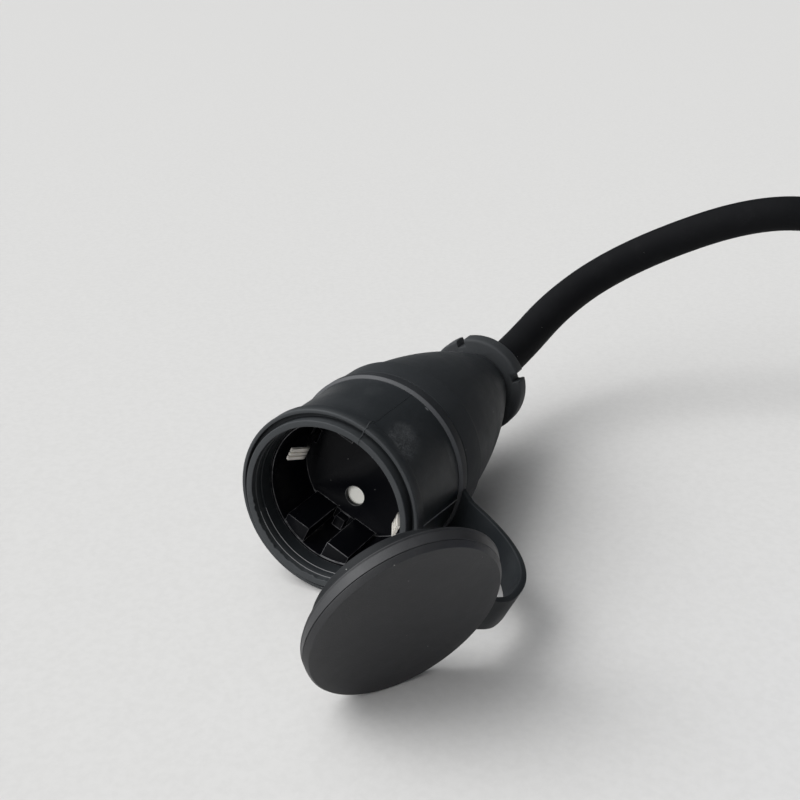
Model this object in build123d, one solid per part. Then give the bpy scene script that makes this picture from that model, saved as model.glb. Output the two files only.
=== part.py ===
"""Adapter lead: a rubber safety-socket coupling with a tethered lid, a short cable and a blue three-pin plug.

Millimetres, +Z up. The origin is the middle of the coupling's mouth, on its axis. +X points out of the
mouth, so "behind" a station means towards -X. The coupling lies level on its rim, RIM_RADIUS above the table.
"""
import os
from math import cos, pi, radians, sin, tan

from build123d import *

# Mouth and barrel of the rubber sleeve
RIM_RADIUS = 27.0
LIP_LENGTH = 4.0
LIP_THICKNESS = 0.8
LIP_ROUNDING = 0.6
LIP_SLOPE = 1.2
GROOVE_WIDTH = 1.7
GROOVE_DEPTH = 2.0
MOUTH_WALL = 1.8
MOUTH_PROUD = 1.0
MOUTH_STEP = 0.25
FIRST_STEP_DEPTH = 0.2
SECOND_STEP_DEPTH = 2.6
LIP_PROUD = 1.3
BARREL_TAPER = 0.3
SPIGOT_STEP = 2.8
SPIGOT_WALL = 2.3
SPIGOT_LENGTH = 16.3

# Ring of the lid's strap, seated in the barrel
RING_START = 28.8
RING_WIDTH = 4.9
RING_PROUD = 0.9
RING_SEAT_DEPTH = 1.6
RING_CHAMFER = 0.7

# Rear hood
COLLAR_PROUD = 0.4
COLLAR_LENGTH = 10.3
COLLAR_STEP = 1.0
CONE_LENGTH = 55.5
CONE_BULGE = 1.6
CONE_END_RADIUS = 11.8
HOOD_WALL = 3.2
GLAND_BORE_LENGTH = 11.5
THREAD_RADIUS = 9.8
THREAD_LENGTH = 4.0

# Gland at the cable's end of the hood
NUT_RADIUS = 16.6
NUT_LENGTH = 6.0
NUT_GAP = 0.4
NUT_WALL = 1.6
NUT_LOBE_COUNT = 4
NUT_NOTCH_WIDTH = 2.6
NUT_NOTCH_DEPTH = 2.5
NUT_NOTCH_ANGLE = 20.0
NUT_CHAMFER = 0.6
SEAL_WALL = 2.1

# Socket insert
INSERT_FRONT = 6.65
INSERT_WALL = 0.8
CAVITY_FLOOR = 23.3
CAVITY_TAPER = 1.2
FLOOR_THICKNESS = 1.4
INSERT_ROLL = -26.4
PIN_OFFSET = 9.5
PIN_HOLE_RADIUS = 3.0
LAND_HEIGHT = 4.1
LAND_WIDTH = 21.4
LAND_SLOT = 6.4
LAND_STEP = 3.2
LAND_STEP_DEPTH = 3.0

# Shutter behind the pin holes
SHUTTER_THICKNESS = 1.6
SHUTTER_LOBE = 3.8
SHUTTER_HUB = 4.4
SHUTTER_BAR = 5.2
PIVOT_RADIUS = 1.6
SPRING_RADIUS = 2.8
SPRING_WIRE = 0.5
SPRING_DEPTH = 1.2

# Terminal block, contacts and earth bracket
BLOCK_FLANGE = 2.4
BLOCK_CLEARANCE = 0.8
BLOCK_LENGTH = 13.1
SLEEVE_RADIUS = 3.3
SLEEVE_BORE = 2.45
SLEEVE_SLIT = 0.7
SLEEVE_SLIT_LENGTH = 7.0
TERMINAL_WIDTH = 8.0
TERMINAL_HEIGHT = 7.0
TERMINAL_LENGTH = 9.0
SCREW_RADIUS = 1.5
SCREW_LENGTH = 4.0
SCREW_SLOT = 0.6
WIRE_RADIUS = 1.1
CORE_RADIUS = 1.75
CORE_SPREAD = 2.4
CORE_ANGLES = (270, 30, 150)
CORE_STRAIGHT = 12.0
CORE_BEND = 9.0
EARTH_INSET = 1.7
EARTH_THICKNESS = 0.8
EARTH_WIDTH = 4.0
EARTH_TIP = 8.4
EARTH_BULGE = 2.7
EARTH_BULGE_AT = 5.0
EARTH_BRIDGE_GAP = 2.4
EARTH_FINGER_SLIT = 0.4
EARTH_FINGER_LENGTH = 10.0

# Lid, hanging open beside the mouth on its edge
LID_REACH = 37.35
LID_ASIDE = 42.35
LID_TURN = 56.2
LID_LEAN = -21.9
LID_INSET = 0.6
LID_FLARE = 0.8
LID_DEPTH = 3.7
LID_PLATE = 2.0
LID_SKIRT = 1.1
LID_EDGE = 1.0
LID_LINE = 0.2
LID_FIRST_BAND = 1.3
LID_SECOND_BAND = 1.9
LID_DISH = 0.3
LID_BORDER = 3.0
LID_RIB_FIT = 0.9
LID_RIB = 1.2

# Strap between the ring and the lid
STRAP_WIDTH = 10.0
STRAP_THICKNESS = 1.8
STRAP_RING_ANGLE = -17.4
STRAP_LID_ANGLE = -23.1
STRAP_ROOT = 6.0
STRAP_ROOT_LEAN = 47.1
STRAP_TAB = 3.2
STRAP_ROOT_PULL = 3.0
STRAP_TAB_PULL = 9.3
STRAP_BOW = [(-5.3, 69.9, -15.6), (4.9, 47.5, -13.8)]
STRAP_SECTION_COUNT = 9

# Cable
CABLE_RADIUS = 6.4
CABLE_ROUTE = [
    (-96.0, 0.0, 0.0),
    (-130.0, 0.0, 0.0),
    (-166.0, 8.0, 15.5),
    (-190.0, 30.0, 30.0),
    (-210.0, 68.0, 45.0),
    (-223.0, 98.0, 43.0),
    (-230.0, 127.0, 28.0),
    (-223.0, 164.0, -6.0),
    (-205.0, 190.0, -20.6),
    (-182.0, 215.0, -20.6),
    (-153.0, 229.0, -15.0),
    (-122.0, 231.0, -4.0),
    (-94.0, 222.0, 4.0),
    (-64.0, 222.0, 4.0),
]

# Three-pin plug at the cable's far end, lying level
PLUG_FLANGE_RADIUS = 31.0
PLUG_FLANGE_LENGTH = 5.0
PLUG_BODY_RADIUS = 26.5
PLUG_BODY_LENGTH = 46.0
PLUG_NECK_RADIUS = 17.0
PLUG_NECK_LENGTH = 24.0
PLUG_WALL = 2.6
PLUG_RIB_COUNT = 14
PLUG_RIB = 1.2
PLUG_SHROUD_RADIUS = 24.6
PLUG_SHROUD_WALL = 2.4
PLUG_SHROUD_LENGTH = 36.0
PLUG_KEY_WIDTH = 6.0
PLUG_KEY_HEIGHT = 2.4
PLUG_BASE_THICKNESS = 14.0
PLUG_PIN_CIRCLE = 13.0
PLUG_LIVE_PIN_RADIUS = 2.5
PLUG_EARTH_PIN_RADIUS = 3.5
PLUG_PIN_LENGTH = 29.0
PLUG_PIN_ROUNDING = 1.7
PLUG_PIN_SHOULDER = 0.4
PLUG_PIN_ANGLES = (30, 150, 270)
PLUG_NUT_RADIUS = 18.5
PLUG_NUT_LENGTH = 16.0
PLUG_NUT_OVERLAP = 8.0
PLUG_NUT_FLAT_COUNT = 10

# Clearances
SLIP = 0.1
RUN = 0.3
LID_GAP = 0.3

# A cylinder that stands on its foot
FOOT = (Align.CENTER, Align.CENTER, Align.MIN)

# Stations behind the mouth, worked out from the lengths above
barrel_front_radius = RIM_RADIUS - LIP_PROUD
barrel_rear_radius = barrel_front_radius + BARREL_TAPER
ring_radius = barrel_rear_radius + RING_PROUD
collar_radius = barrel_rear_radius + COLLAR_PROUD
spigot_radius = barrel_rear_radius - SPIGOT_STEP
lid_back_radius = RIM_RADIUS - LID_INSET
lid_face_radius = lid_back_radius - LID_FLARE
lid_side_radius = (lid_face_radius + lid_back_radius) / 2
gland_bore = CABLE_RADIUS + SEAL_WALL + SLIP
groove_outer = RIM_RADIUS - LIP_THICKNESS
groove_inner = groove_outer - GROOVE_WIDTH
mouth_radius = groove_inner - MOUTH_WALL
bore = mouth_radius - 2 * MOUTH_STEP
insert_radius = bore - SLIP
cavity_front_radius = insert_radius - INSERT_WALL
cavity_floor_radius = cavity_front_radius - CAVITY_TAPER
land_offset = cavity_floor_radius - LAND_HEIGHT
earth_offset = cavity_floor_radius - EARTH_INSET
block_radius = earth_offset - EARTH_THICKNESS / 2 - BLOCK_CLEARANCE
floor_back = CAVITY_FLOOR + FLOOR_THICKNESS
block_front = floor_back + SHUTTER_THICKNESS + 2 * RUN
block_step = block_front + BLOCK_FLANGE
block_back = block_front + BLOCK_LENGTH
ring_back = RING_START + RING_WIDTH
spigot_back = ring_back + SPIGOT_LENGTH
cone_start = ring_back + COLLAR_LENGTH
cone_front_radius = collar_radius - COLLAR_STEP
hood_back = cone_start + CONE_LENGTH
thread_back = hood_back + THREAD_LENGTH
nut_front = hood_back + NUT_GAP
nut_back = nut_front + NUT_LENGTH
gland_front = thread_back - GLAND_BORE_LENGTH
earth_back = block_back + EARTH_BRIDGE_GAP
terminal_back = block_back + TERMINAL_LENGTH
earth_terminal = earth_back + EARTH_THICKNESS / 2
earth_terminal_back = earth_terminal + TERMINAL_LENGTH
lid_first_line = LID_FIRST_BAND
lid_second_line = LID_FIRST_BAND + LID_SECOND_BAND
lid_rib_radius = mouth_radius - LID_RIB - LID_RIB_FIT
table = -RIM_RADIUS


def turned(points):
    """A ring turned about the coupling's axis from (distance behind the mouth, radius) points."""
    outline = Polyline(*[(-station, 0, radius) for station, radius in points], close=True)
    return revolve(make_face(outline), axis=Axis.X)


def rod(start, end, radius, y=0.0, z=0.0):
    """A round rod along the axis between two stations behind the mouth."""
    return Pos(-(start + end) / 2, y, z) * Cylinder(radius, abs(end - start), rotation=(0, 90, 0))


def block(start, end, y_range, z_range):
    """A box between two stations behind the mouth."""
    size = (abs(end - start), y_range[1] - y_range[0], z_range[1] - z_range[0])
    middle = (-(start + end) / 2, sum(y_range) / 2, sum(z_range) / 2)
    return Pos(*middle) * Box(*size)


def round_edges(solid, station, radius):
    """The circular edges of a turned solid at one station and radius."""
    edges = solid.edges().filter_by(GeomType.CIRCLE)
    return [e for e in edges if abs(e.radius - radius) < 1e-3 and abs(e.arc_center.X + station) < 1e-3]


def rolled(solid):
    """A piece of the socket insert, turned about the axis to the insert's roll."""
    return Rot(X=INSERT_ROLL) * solid


def front_sleeve():
    """Rubber sleeve: lip, sealing groove, stepped mouth, barrel, ring seat and spigot."""
    seat = RING_START, barrel_rear_radius - RING_SEAT_DEPTH
    body = turned([
        (-MOUTH_PROUD, mouth_radius),
        (-MOUTH_PROUD, groove_inner),
        (GROOVE_DEPTH, groove_inner),
        (GROOVE_DEPTH, groove_outer),
        (0, groove_outer),
        (0, RIM_RADIUS),
        (LIP_LENGTH, RIM_RADIUS),
        (LIP_LENGTH + LIP_SLOPE, barrel_front_radius),
        (RING_START, barrel_rear_radius),
        seat,
        (ring_back, seat[1]),
        (ring_back, spigot_radius),
        (spigot_back, spigot_radius),
        (spigot_back, spigot_radius - SPIGOT_WALL),
        (block_step, spigot_radius - SPIGOT_WALL),
        (block_step, bore),
        (SECOND_STEP_DEPTH, bore),
        (SECOND_STEP_DEPTH, bore + MOUTH_STEP),
        (FIRST_STEP_DEPTH, bore + MOUTH_STEP),
        (FIRST_STEP_DEPTH, mouth_radius),
    ])
    body = fillet(round_edges(body, 0, RIM_RADIUS), LIP_ROUNDING)
    body = fillet(round_edges(body, LIP_LENGTH, RIM_RADIUS), LIP_ROUNDING)
    return fillet(round_edges(body, -MOUTH_PROUD, mouth_radius), MOUTH_STEP)


def contact_carrier():
    """Black insert: tapered cavity, floor with pin holes, guide lands with a slot, earth slots."""
    cup = turned([
        (INSERT_FRONT, insert_radius),
        (block_front, insert_radius),
        (block_front, cavity_floor_radius + INSERT_WALL),
        (floor_back, cavity_floor_radius + INSERT_WALL),
        (floor_back, 0),
        (CAVITY_FLOOR, 0),
        (CAVITY_FLOOR, cavity_floor_radius),
        (INSERT_FRONT, cavity_front_radius),
    ])
    inside = rod(INSERT_FRONT, floor_back, insert_radius - INSERT_WALL / 2)
    tall = (land_offset, RIM_RADIUS)
    land = block(INSERT_FRONT + RUN, floor_back, (-LAND_WIDTH / 2, LAND_WIDTH / 2), tall)
    land -= block(INSERT_FRONT, CAVITY_FLOOR, (-LAND_SLOT / 2, LAND_SLOT / 2), tall)
    step = block(
        CAVITY_FLOOR - LAND_STEP_DEPTH, floor_back,
        (-LAND_STEP / 2, LAND_STEP / 2), (land_offset + EARTH_THICKNESS, RIM_RADIUS),
    )
    for turn in (0, 180):
        cup += Rot(X=turn) * ((land + step) & inside)
        hole = rod(CAVITY_FLOOR - RUN, floor_back + RUN, PIN_HOLE_RADIUS, z=PIN_OFFSET)
        cup -= Rot(X=turn) * hole
        slot = block(
            CAVITY_FLOOR - RUN, floor_back + RUN,
            (earth_offset - EARTH_THICKNESS, earth_offset + EARTH_THICKNESS),
            (-EARTH_WIDTH / 2 - RUN, EARTH_WIDTH / 2 + RUN),
        )
        cup -= Rot(X=turn) * slot
    return rolled(cup)


def shutter():
    """White shutter: a two-lobed plate that turns on a pivot and closes both pin holes."""
    outline = Circle(SHUTTER_HUB) + Rectangle(SHUTTER_BAR, 2 * PIN_OFFSET)
    outline += [Pos(0, side * PIN_OFFSET) * Circle(SHUTTER_LOBE) for side in (-1, 1)]
    outline -= Circle(PIVOT_RADIUS + SLIP)
    front = floor_back + RUN
    face = Plane(origin=(-front, 0, 0), x_dir=(0, -1, 0), z_dir=(-1, 0, 0)) * outline
    return rolled(extrude(face, SHUTTER_THICKNESS))


def shutter_spring():
    """Return spring of the shutter: an open ring of wire round the pivot."""
    ring = Circle(SPRING_RADIUS + SPRING_WIRE / 2) - Circle(SPRING_RADIUS - SPRING_WIRE / 2)
    ring -= Pos(SPRING_RADIUS, 0) * Rectangle(2 * SPRING_WIRE, 2 * SPRING_WIRE)
    front = block_front + SPRING_WIRE
    face = Plane(origin=(-front, 0, 0), x_dir=(0, -1, 0), z_dir=(-1, 0, 0)) * ring
    return rolled(extrude(face, SPRING_DEPTH - SPRING_WIRE))


def terminal_block():
    """Insulating block behind the shutter: pivot, spring pocket, sleeve bores and earth slots."""
    body = turned([
        (block_front, 0),
        (block_front, insert_radius),
        (block_step, insert_radius),
        (block_step, block_radius),
        (block_back, block_radius),
        (block_back, 0),
    ])
    pocket = rod(block_front, block_front + SPRING_DEPTH, SPRING_RADIUS + SPRING_WIRE / 2 + SLIP)
    body -= pocket
    body += rod(floor_back + RUN, block_front + SPRING_DEPTH, PIVOT_RADIUS)
    for turn in (0, 180):
        body -= Rot(X=turn) * rod(block_front - RUN, block_back + RUN, SLEEVE_RADIUS + SLIP, z=PIN_OFFSET)
        slot = block(
            block_front - RUN, block_step + RUN,
            (earth_offset - EARTH_THICKNESS, earth_offset + EARTH_THICKNESS),
            (-EARTH_WIDTH / 2 - RUN, EARTH_WIDTH / 2 + RUN),
        )
        body -= Rot(X=turn) * slot
    return rolled(body)


def contact(turn):
    """Brass contact: a slit sleeve for the pin with a screw terminal behind it."""
    front = block_front + RUN
    sleeve = rod(front, block_back, SLEEVE_RADIUS, z=PIN_OFFSET)
    half_width, half_height = TERMINAL_WIDTH / 2, TERMINAL_HEIGHT / 2
    tall = (PIN_OFFSET - half_height, PIN_OFFSET + half_height)
    piece = sleeve + block(block_back, terminal_back, (-half_width, half_width), tall)
    piece -= rod(front, block_back - RUN, SLEEVE_BORE, z=PIN_OFFSET)
    piece -= block(
        front, front + SLEEVE_SLIT_LENGTH, (-SLEEVE_SLIT / 2, SLEEVE_SLIT / 2),
        (PIN_OFFSET - SLEEVE_RADIUS, PIN_OFFSET + SLEEVE_RADIUS),
    )
    middle = (block_back + terminal_back) / 2
    piece -= rod(middle - WIRE_RADIUS, terminal_back, WIRE_RADIUS + SLIP, z=PIN_OFFSET)
    hole = Cylinder(SCREW_RADIUS + SLIP, half_height, align=FOOT)
    piece -= Pos(-middle, 0, PIN_OFFSET) * hole
    return rolled(Rot(X=turn) * piece)


def earth_bracket():
    """Earth bracket: a bent strip with a fingered spring clip at each end and a screw terminal."""
    back, tip, out = earth_back, EARTH_TIP, earth_offset
    arm = [
        (-back, out),
        (-(tip + EARTH_FINGER_LENGTH), out),
        (-(tip + EARTH_BULGE_AT), out - EARTH_BULGE),
        (-tip, out),
    ]
    path = [(x, y) for x, y in reversed(arm)] + [(x, -y) for x, y in arm]
    strip = trace(FilletPolyline(*path, radius=EARTH_THICKNESS), line_width=EARTH_THICKNESS)
    piece = extrude(strip, EARTH_WIDTH / 2, both=True)
    for turn in (0, 180):
        for side in (-1, 1):
            place = side * EARTH_WIDTH / 6
            slit = (place - EARTH_FINGER_SLIT / 2, place + EARTH_FINGER_SLIT / 2)
            piece -= Rot(X=turn) * block(tip - RUN * 2, tip + EARTH_FINGER_LENGTH, (0, RIM_RADIUS), slit)
    half = TERMINAL_HEIGHT / 2
    piece += block(earth_terminal - SLIP, earth_terminal_back, (-half, half), (-half, half))
    middle = (earth_terminal + earth_terminal_back) / 2
    piece -= rod(middle - WIRE_RADIUS, earth_terminal_back, WIRE_RADIUS + SLIP)
    hole = Cylinder(SCREW_RADIUS + SLIP, half, align=FOOT)
    piece -= Pos(-middle, 0, 0) * Rot(X=-90) * hole
    return rolled(piece)


def terminal_screws():
    """Three slotted grub screws that clamp the cores."""
    screw = Cylinder(SCREW_RADIUS, SCREW_LENGTH, align=FOOT)
    screw -= Pos(0, 0, SCREW_LENGTH) * Box(2 * SCREW_RADIUS, SCREW_SLOT, 2 * SCREW_SLOT)
    live = (block_back + terminal_back) / 2
    earth = (earth_terminal + earth_terminal_back) / 2
    tips = [
        Pos(-live, 0, PIN_OFFSET + WIRE_RADIUS) * screw,
        Rot(X=180) * (Pos(-live, 0, PIN_OFFSET + WIRE_RADIUS) * screw),
        Pos(-earth, WIRE_RADIUS, 0) * Rot(X=-90) * screw,
    ]
    return Compound(children=[rolled(tip) for tip in tips])


def core(start, z, angle):
    """One insulated core from its terminal to the cable's cut end, with a bare tip."""
    end = (CABLE_ROUTE[0][0], CORE_SPREAD * cos(radians(angle)), CORE_SPREAD * sin(radians(angle)))
    bend = (end[0] + CORE_STRAIGHT, end[1], end[2])
    route = FilletPolyline((-start, 0, z), (-start - CORE_STRAIGHT, 0, z), bend, end, radius=CORE_BEND)
    cover = sweep(Plane(origin=route @ 0, z_dir=route % 0) * Circle(CORE_RADIUS), route)
    tip = rod(start - TERMINAL_LENGTH / 2, start + WIRE_RADIUS, WIRE_RADIUS, z=z)
    return rolled(cover + tip)


def rear_hood():
    """Rubber hood: collar behind the ring, domed taper, gland bore and thread."""
    straight_mid = (cone_front_radius + CONE_END_RADIUS) / 2
    middle = (cone_start + hood_back) / 2, straight_mid + CONE_BULGE
    inner_start = spigot_back + SLIP
    inner_radius = spigot_radius - SPIGOT_WALL / 2
    inner_end = CONE_END_RADIUS + CONE_BULGE
    points = [
        (hood_back, CONE_END_RADIUS),
        (hood_back, THREAD_RADIUS),
        (thread_back, THREAD_RADIUS),
        (thread_back, gland_bore),
        (gland_front, gland_bore),
        (gland_front - HOOD_WALL, inner_end - HOOD_WALL / 2),
        (inner_start, inner_radius),
        (inner_start, spigot_radius + SLIP),
        (ring_back, spigot_radius + SLIP),
        (ring_back, collar_radius),
        (cone_start, collar_radius),
        (cone_start, cone_front_radius),
    ]
    spots = [(-station, 0, radius) for station, radius in points]
    dome = ThreePointArc(spots[-1], (-middle[0], 0, middle[1]), spots[0])
    body = revolve(make_face(Curve() + [Polyline(*spots), dome]), axis=Axis.X)
    return fillet(round_edges(body, cone_start, collar_radius), COLLAR_STEP / 3)


def gland_nut():
    """Lobed gland nut, with notches between its lobes for the fingers."""
    body = turned([
        (nut_front, THREAD_RADIUS + SLIP),
        (nut_front, NUT_RADIUS),
        (nut_back, NUT_RADIUS),
        (nut_back, CABLE_RADIUS + RUN),
        (nut_back - NUT_WALL, CABLE_RADIUS + RUN),
        (nut_back - NUT_WALL, gland_bore - RUN),
        (thread_back + SLIP, THREAD_RADIUS + SLIP),
    ])
    body = chamfer(round_edges(body, nut_front, NUT_RADIUS), NUT_CHAMFER)
    body = chamfer(round_edges(body, nut_back, NUT_RADIUS), NUT_CHAMFER)
    half = NUT_NOTCH_WIDTH / 2
    deep = (NUT_RADIUS - NUT_NOTCH_DEPTH, NUT_RADIUS + RUN)
    notch = block(nut_front - RUN, nut_back + RUN, deep, (-half, half))
    for k in range(NUT_LOBE_COUNT):
        body -= Rot(X=NUT_NOTCH_ANGLE + k * 360 / NUT_LOBE_COUNT) * notch
    return body


def gland_seal():
    """Rubber bush that the nut squeezes round the cable."""
    outer = CABLE_RADIUS + SEAL_WALL
    return turned([
        (gland_front, CABLE_RADIUS + SLIP),
        (gland_front, outer),
        (nut_back - NUT_WALL - SLIP, outer - NUT_WALL),
        (nut_back - NUT_WALL - SLIP, CABLE_RADIUS + SLIP),
    ])


def lid_plane():
    """The open lid's own plane: origin on its outer face, z out of the face, x towards its tab.

    The lid stands on whichever of its three rims hangs lowest.
    """
    turn, lean = radians(LID_TURN), radians(LID_LEAN)
    normal = Vector(cos(turn) * cos(lean), sin(turn) * cos(lean), sin(lean))
    rims = [
        (lid_face_radius - LID_EDGE) * cos(lean) + LID_EDGE * (1 + sin(lean)),
        lid_side_radius * cos(lean) + (lid_first_line + LID_LINE) * sin(lean),
        lid_back_radius * cos(lean) + (lid_second_line + LID_LINE) * sin(lean),
    ]
    height = table + max(rims)
    level = Vector(-sin(turn), cos(turn), 0)
    rise = normal.cross(level)
    angle = radians(STRAP_LID_ANGLE)
    tab = level * cos(angle) + rise * sin(angle)
    return Plane(origin=(LID_REACH, LID_ASIDE, height), x_dir=tab, z_dir=normal)


def lid():
    """Lid: dished face, rounded edge, two moulded lines round its side, skirt, inner rib and strap tab."""
    side = lid_side_radius
    first, second = lid_first_line, lid_second_line
    inner = lid_back_radius - LID_SKIRT
    points = [
        (0, -LID_DISH),
        (lid_face_radius - LID_BORDER, -LID_DISH),
        (lid_face_radius - LID_BORDER + LID_DISH, 0),
        (lid_face_radius, 0),
        (lid_face_radius, -first),
        (lid_face_radius - LID_LINE, -first),
        (lid_face_radius - LID_LINE, -first - LID_LINE),
        (side, -first - LID_LINE),
        (side, -second),
        (side - LID_LINE, -second),
        (side - LID_LINE, -second - LID_LINE),
        (lid_back_radius, -second - LID_LINE),
        (lid_back_radius, -LID_DEPTH),
        (inner, -LID_DEPTH),
        (side - LID_LINE - LID_SKIRT, -LID_PLATE),
        (lid_rib_radius + LID_RIB, -LID_PLATE),
        (lid_rib_radius + LID_RIB, -LID_PLATE - LID_RIB),
        (lid_rib_radius, -LID_PLATE - LID_RIB),
        (lid_rib_radius, -LID_PLATE),
        (0, -LID_PLATE),
    ]
    body = revolve(make_face(Polyline(*[(r, 0, z) for r, z in points], close=True)), axis=Axis.Z)
    edge = [e for e in body.edges().filter_by(GeomType.CIRCLE)
            if abs(e.radius - lid_face_radius) < 1e-3 and abs(e.arc_center.Z) < 1e-3]
    body = fillet(edge, LID_EDGE)
    reach = lid_back_radius + STRAP_TAB
    end = (Align.MAX, Align.CENTER, Align.CENTER)
    tab = Box(reach - side + LID_SKIRT, STRAP_WIDTH, STRAP_THICKNESS, align=end)
    body += Pos(reach, 0, -(first + second) / 2) * tab
    return lid_plane() * body


def strap_ends():
    """Ends of the free strap with their directions: at the ring's root and at the lid's tab."""
    angle = radians(STRAP_RING_ANGLE)
    radial = Vector(0, cos(angle), sin(angle))
    across = Vector(0, -sin(angle), cos(angle))
    lean = radians(STRAP_ROOT_LEAN)
    out = Vector(cos(lean), 0, 0) + radial * sin(lean)
    seat = Vector(-(RING_START + ring_back) / 2, 0, 0) + radial * (ring_radius - RING_SEAT_DEPTH / 2)
    plane = lid_plane()
    depth = -(lid_first_line + lid_second_line) / 2
    reach = lid_back_radius + STRAP_TAB + LID_GAP
    tab = plane.origin + plane.x_dir * reach + plane.z_dir * depth
    return seat, out, across, tab, plane.x_dir, plane.y_dir


def ribbon(path, across, across_end, stations):
    """A flat strap lofted along a path, its width turning from one direction to another."""
    sections = []
    for k in range(stations):
        at = k / (stations - 1)
        forward = path % at
        wide = across * (1 - at) + across_end * at
        wide -= forward * wide.dot(forward)
        plane = Plane(origin=path @ at, x_dir=wide, z_dir=forward)
        sections.append(plane * Rectangle(STRAP_WIDTH, STRAP_THICKNESS))
    return loft(sections)


def lid_ring():
    """Rubber ring seated round the barrel, with the root of the strap."""
    inner = barrel_rear_radius - RING_SEAT_DEPTH
    body = turned([
        (RING_START, inner),
        (RING_START, ring_radius - RING_CHAMFER),
        (RING_START + RING_CHAMFER, ring_radius),
        (ring_back, ring_radius),
        (ring_back, inner),
    ])
    seat, out, across, _, _, _ = strap_ends()
    return body + ribbon(Line(seat, seat + out * STRAP_ROOT), across, across, 2)


def lid_strap():
    """Free loop of the strap from the ring's root to the lid's tab."""
    seat, out, across, tab, away, tab_across = strap_ends()
    start = seat + out * STRAP_ROOT
    path = Bezier(start, start + out * STRAP_ROOT_PULL, *STRAP_BOW, tab + away * STRAP_TAB_PULL, tab)
    return ribbon(path, across, tab_across, STRAP_SECTION_COUNT)


def cable():
    """Cable from inside the gland to inside the plug: straight runs joined by arcs."""
    points = [Vector(*p) for p in CABLE_ROUTE]
    radii = []
    for before, here, after in zip(points, points[1:], points[2:]):
        one, two = here - before, after - here
        turn = radians(one.get_angle(two))
        radii.append(0.45 * min(one.length, two.length) / tan(turn / 2))
    print("cable bend radii", [round(r, 1) for r in radii])
    route = FilletPolyline(*CABLE_ROUTE, radius=radii)
    tube = sweep(Plane(origin=route @ 0, z_dir=route % 0) * Circle(CABLE_RADIUS), route)
    print("cable length", round(route.length, 1), "volume", round(tube.volume), "of",
          round(pi * CABLE_RADIUS ** 2 * route.length))
    return tube


# Plug pieces are made along +X from its nut and then set at the cable's end, so their stations run forward
plug_axis = (CABLE_ROUTE[-1][1], PLUG_FLANGE_RADIUS + table)
plug_nut_back = CABLE_ROUTE[-1][0] - PLUG_NUT_LENGTH
plug_neck_back = plug_nut_back + PLUG_NUT_LENGTH - PLUG_NUT_OVERLAP
plug_neck_front = plug_neck_back + PLUG_NECK_LENGTH
plug_body_front = plug_neck_front + PLUG_BODY_LENGTH
plug_base_front = plug_body_front + PLUG_FLANGE_LENGTH
plug_end = plug_base_front + PLUG_SHROUD_LENGTH


def plug_turned(points):
    """A ring turned about the plug's axis from (x, radius) points."""
    spots = [(x, 0, r) for x, r in points]
    return Pos(0, *plug_axis) * revolve(make_face(Polyline(*spots, close=True)), axis=Axis.X)


def plug_rear_housing():
    """Blue rear housing: threaded neck, shoulder and ribbed grip."""
    neck_bore = CABLE_RADIUS + SEAL_WALL + SLIP
    inner = PLUG_BODY_RADIUS - PLUG_WALL
    thread_end = plug_nut_back + PLUG_NUT_LENGTH + PLUG_NUT_OVERLAP
    shoulder = plug_neck_front + (PLUG_BODY_RADIUS - PLUG_NECK_RADIUS)
    body = plug_turned([
        (plug_neck_back, neck_bore),
        (plug_neck_back, PLUG_NECK_RADIUS - PLUG_WALL),
        (thread_end, PLUG_NECK_RADIUS - PLUG_WALL),
        (thread_end, PLUG_NECK_RADIUS),
        (plug_neck_front, PLUG_NECK_RADIUS),
        (shoulder, PLUG_BODY_RADIUS),
        (plug_body_front, PLUG_BODY_RADIUS),
        (plug_body_front, inner),
        (shoulder, inner),
        (plug_neck_front, PLUG_NECK_RADIUS - PLUG_WALL),
        (plug_neck_front, neck_bore),
    ])
    length = plug_body_front - shoulder - 2 * PLUG_WALL
    rib = Pos((shoulder + plug_body_front) / 2, 0, PLUG_BODY_RADIUS) * Box(length, 2 * PLUG_RIB, 2 * PLUG_RIB)
    for k in range(PLUG_RIB_COUNT):
        body += Pos(0, *plug_axis) * Rot(X=k * 360 / PLUG_RIB_COUNT) * rib
    return body


def plug_shroud():
    """Blue front: retaining flange and shroud with the keyway ridge at its foot."""
    inner = PLUG_SHROUD_RADIUS - PLUG_SHROUD_WALL
    body = plug_turned([
        (plug_body_front, inner),
        (plug_body_front, PLUG_FLANGE_RADIUS),
        (plug_base_front, PLUG_FLANGE_RADIUS),
        (plug_base_front, PLUG_SHROUD_RADIUS),
        (plug_end, PLUG_SHROUD_RADIUS),
        (plug_end, inner),
    ])
    middle = (plug_base_front + plug_end) / 2
    key = Pos(middle, plug_axis[0], plug_axis[1] - PLUG_SHROUD_RADIUS)
    return body + key * Box(plug_end - plug_base_front, PLUG_KEY_WIDTH, 2 * PLUG_KEY_HEIGHT)


def plug_pin_places():
    """Places of the plug's pins round its axis: two live pins, then the earth pin."""
    turns = [radians(angle) for angle in PLUG_PIN_ANGLES]
    return [(PLUG_PIN_CIRCLE * cos(turn), PLUG_PIN_CIRCLE * sin(turn)) for turn in turns]


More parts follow.
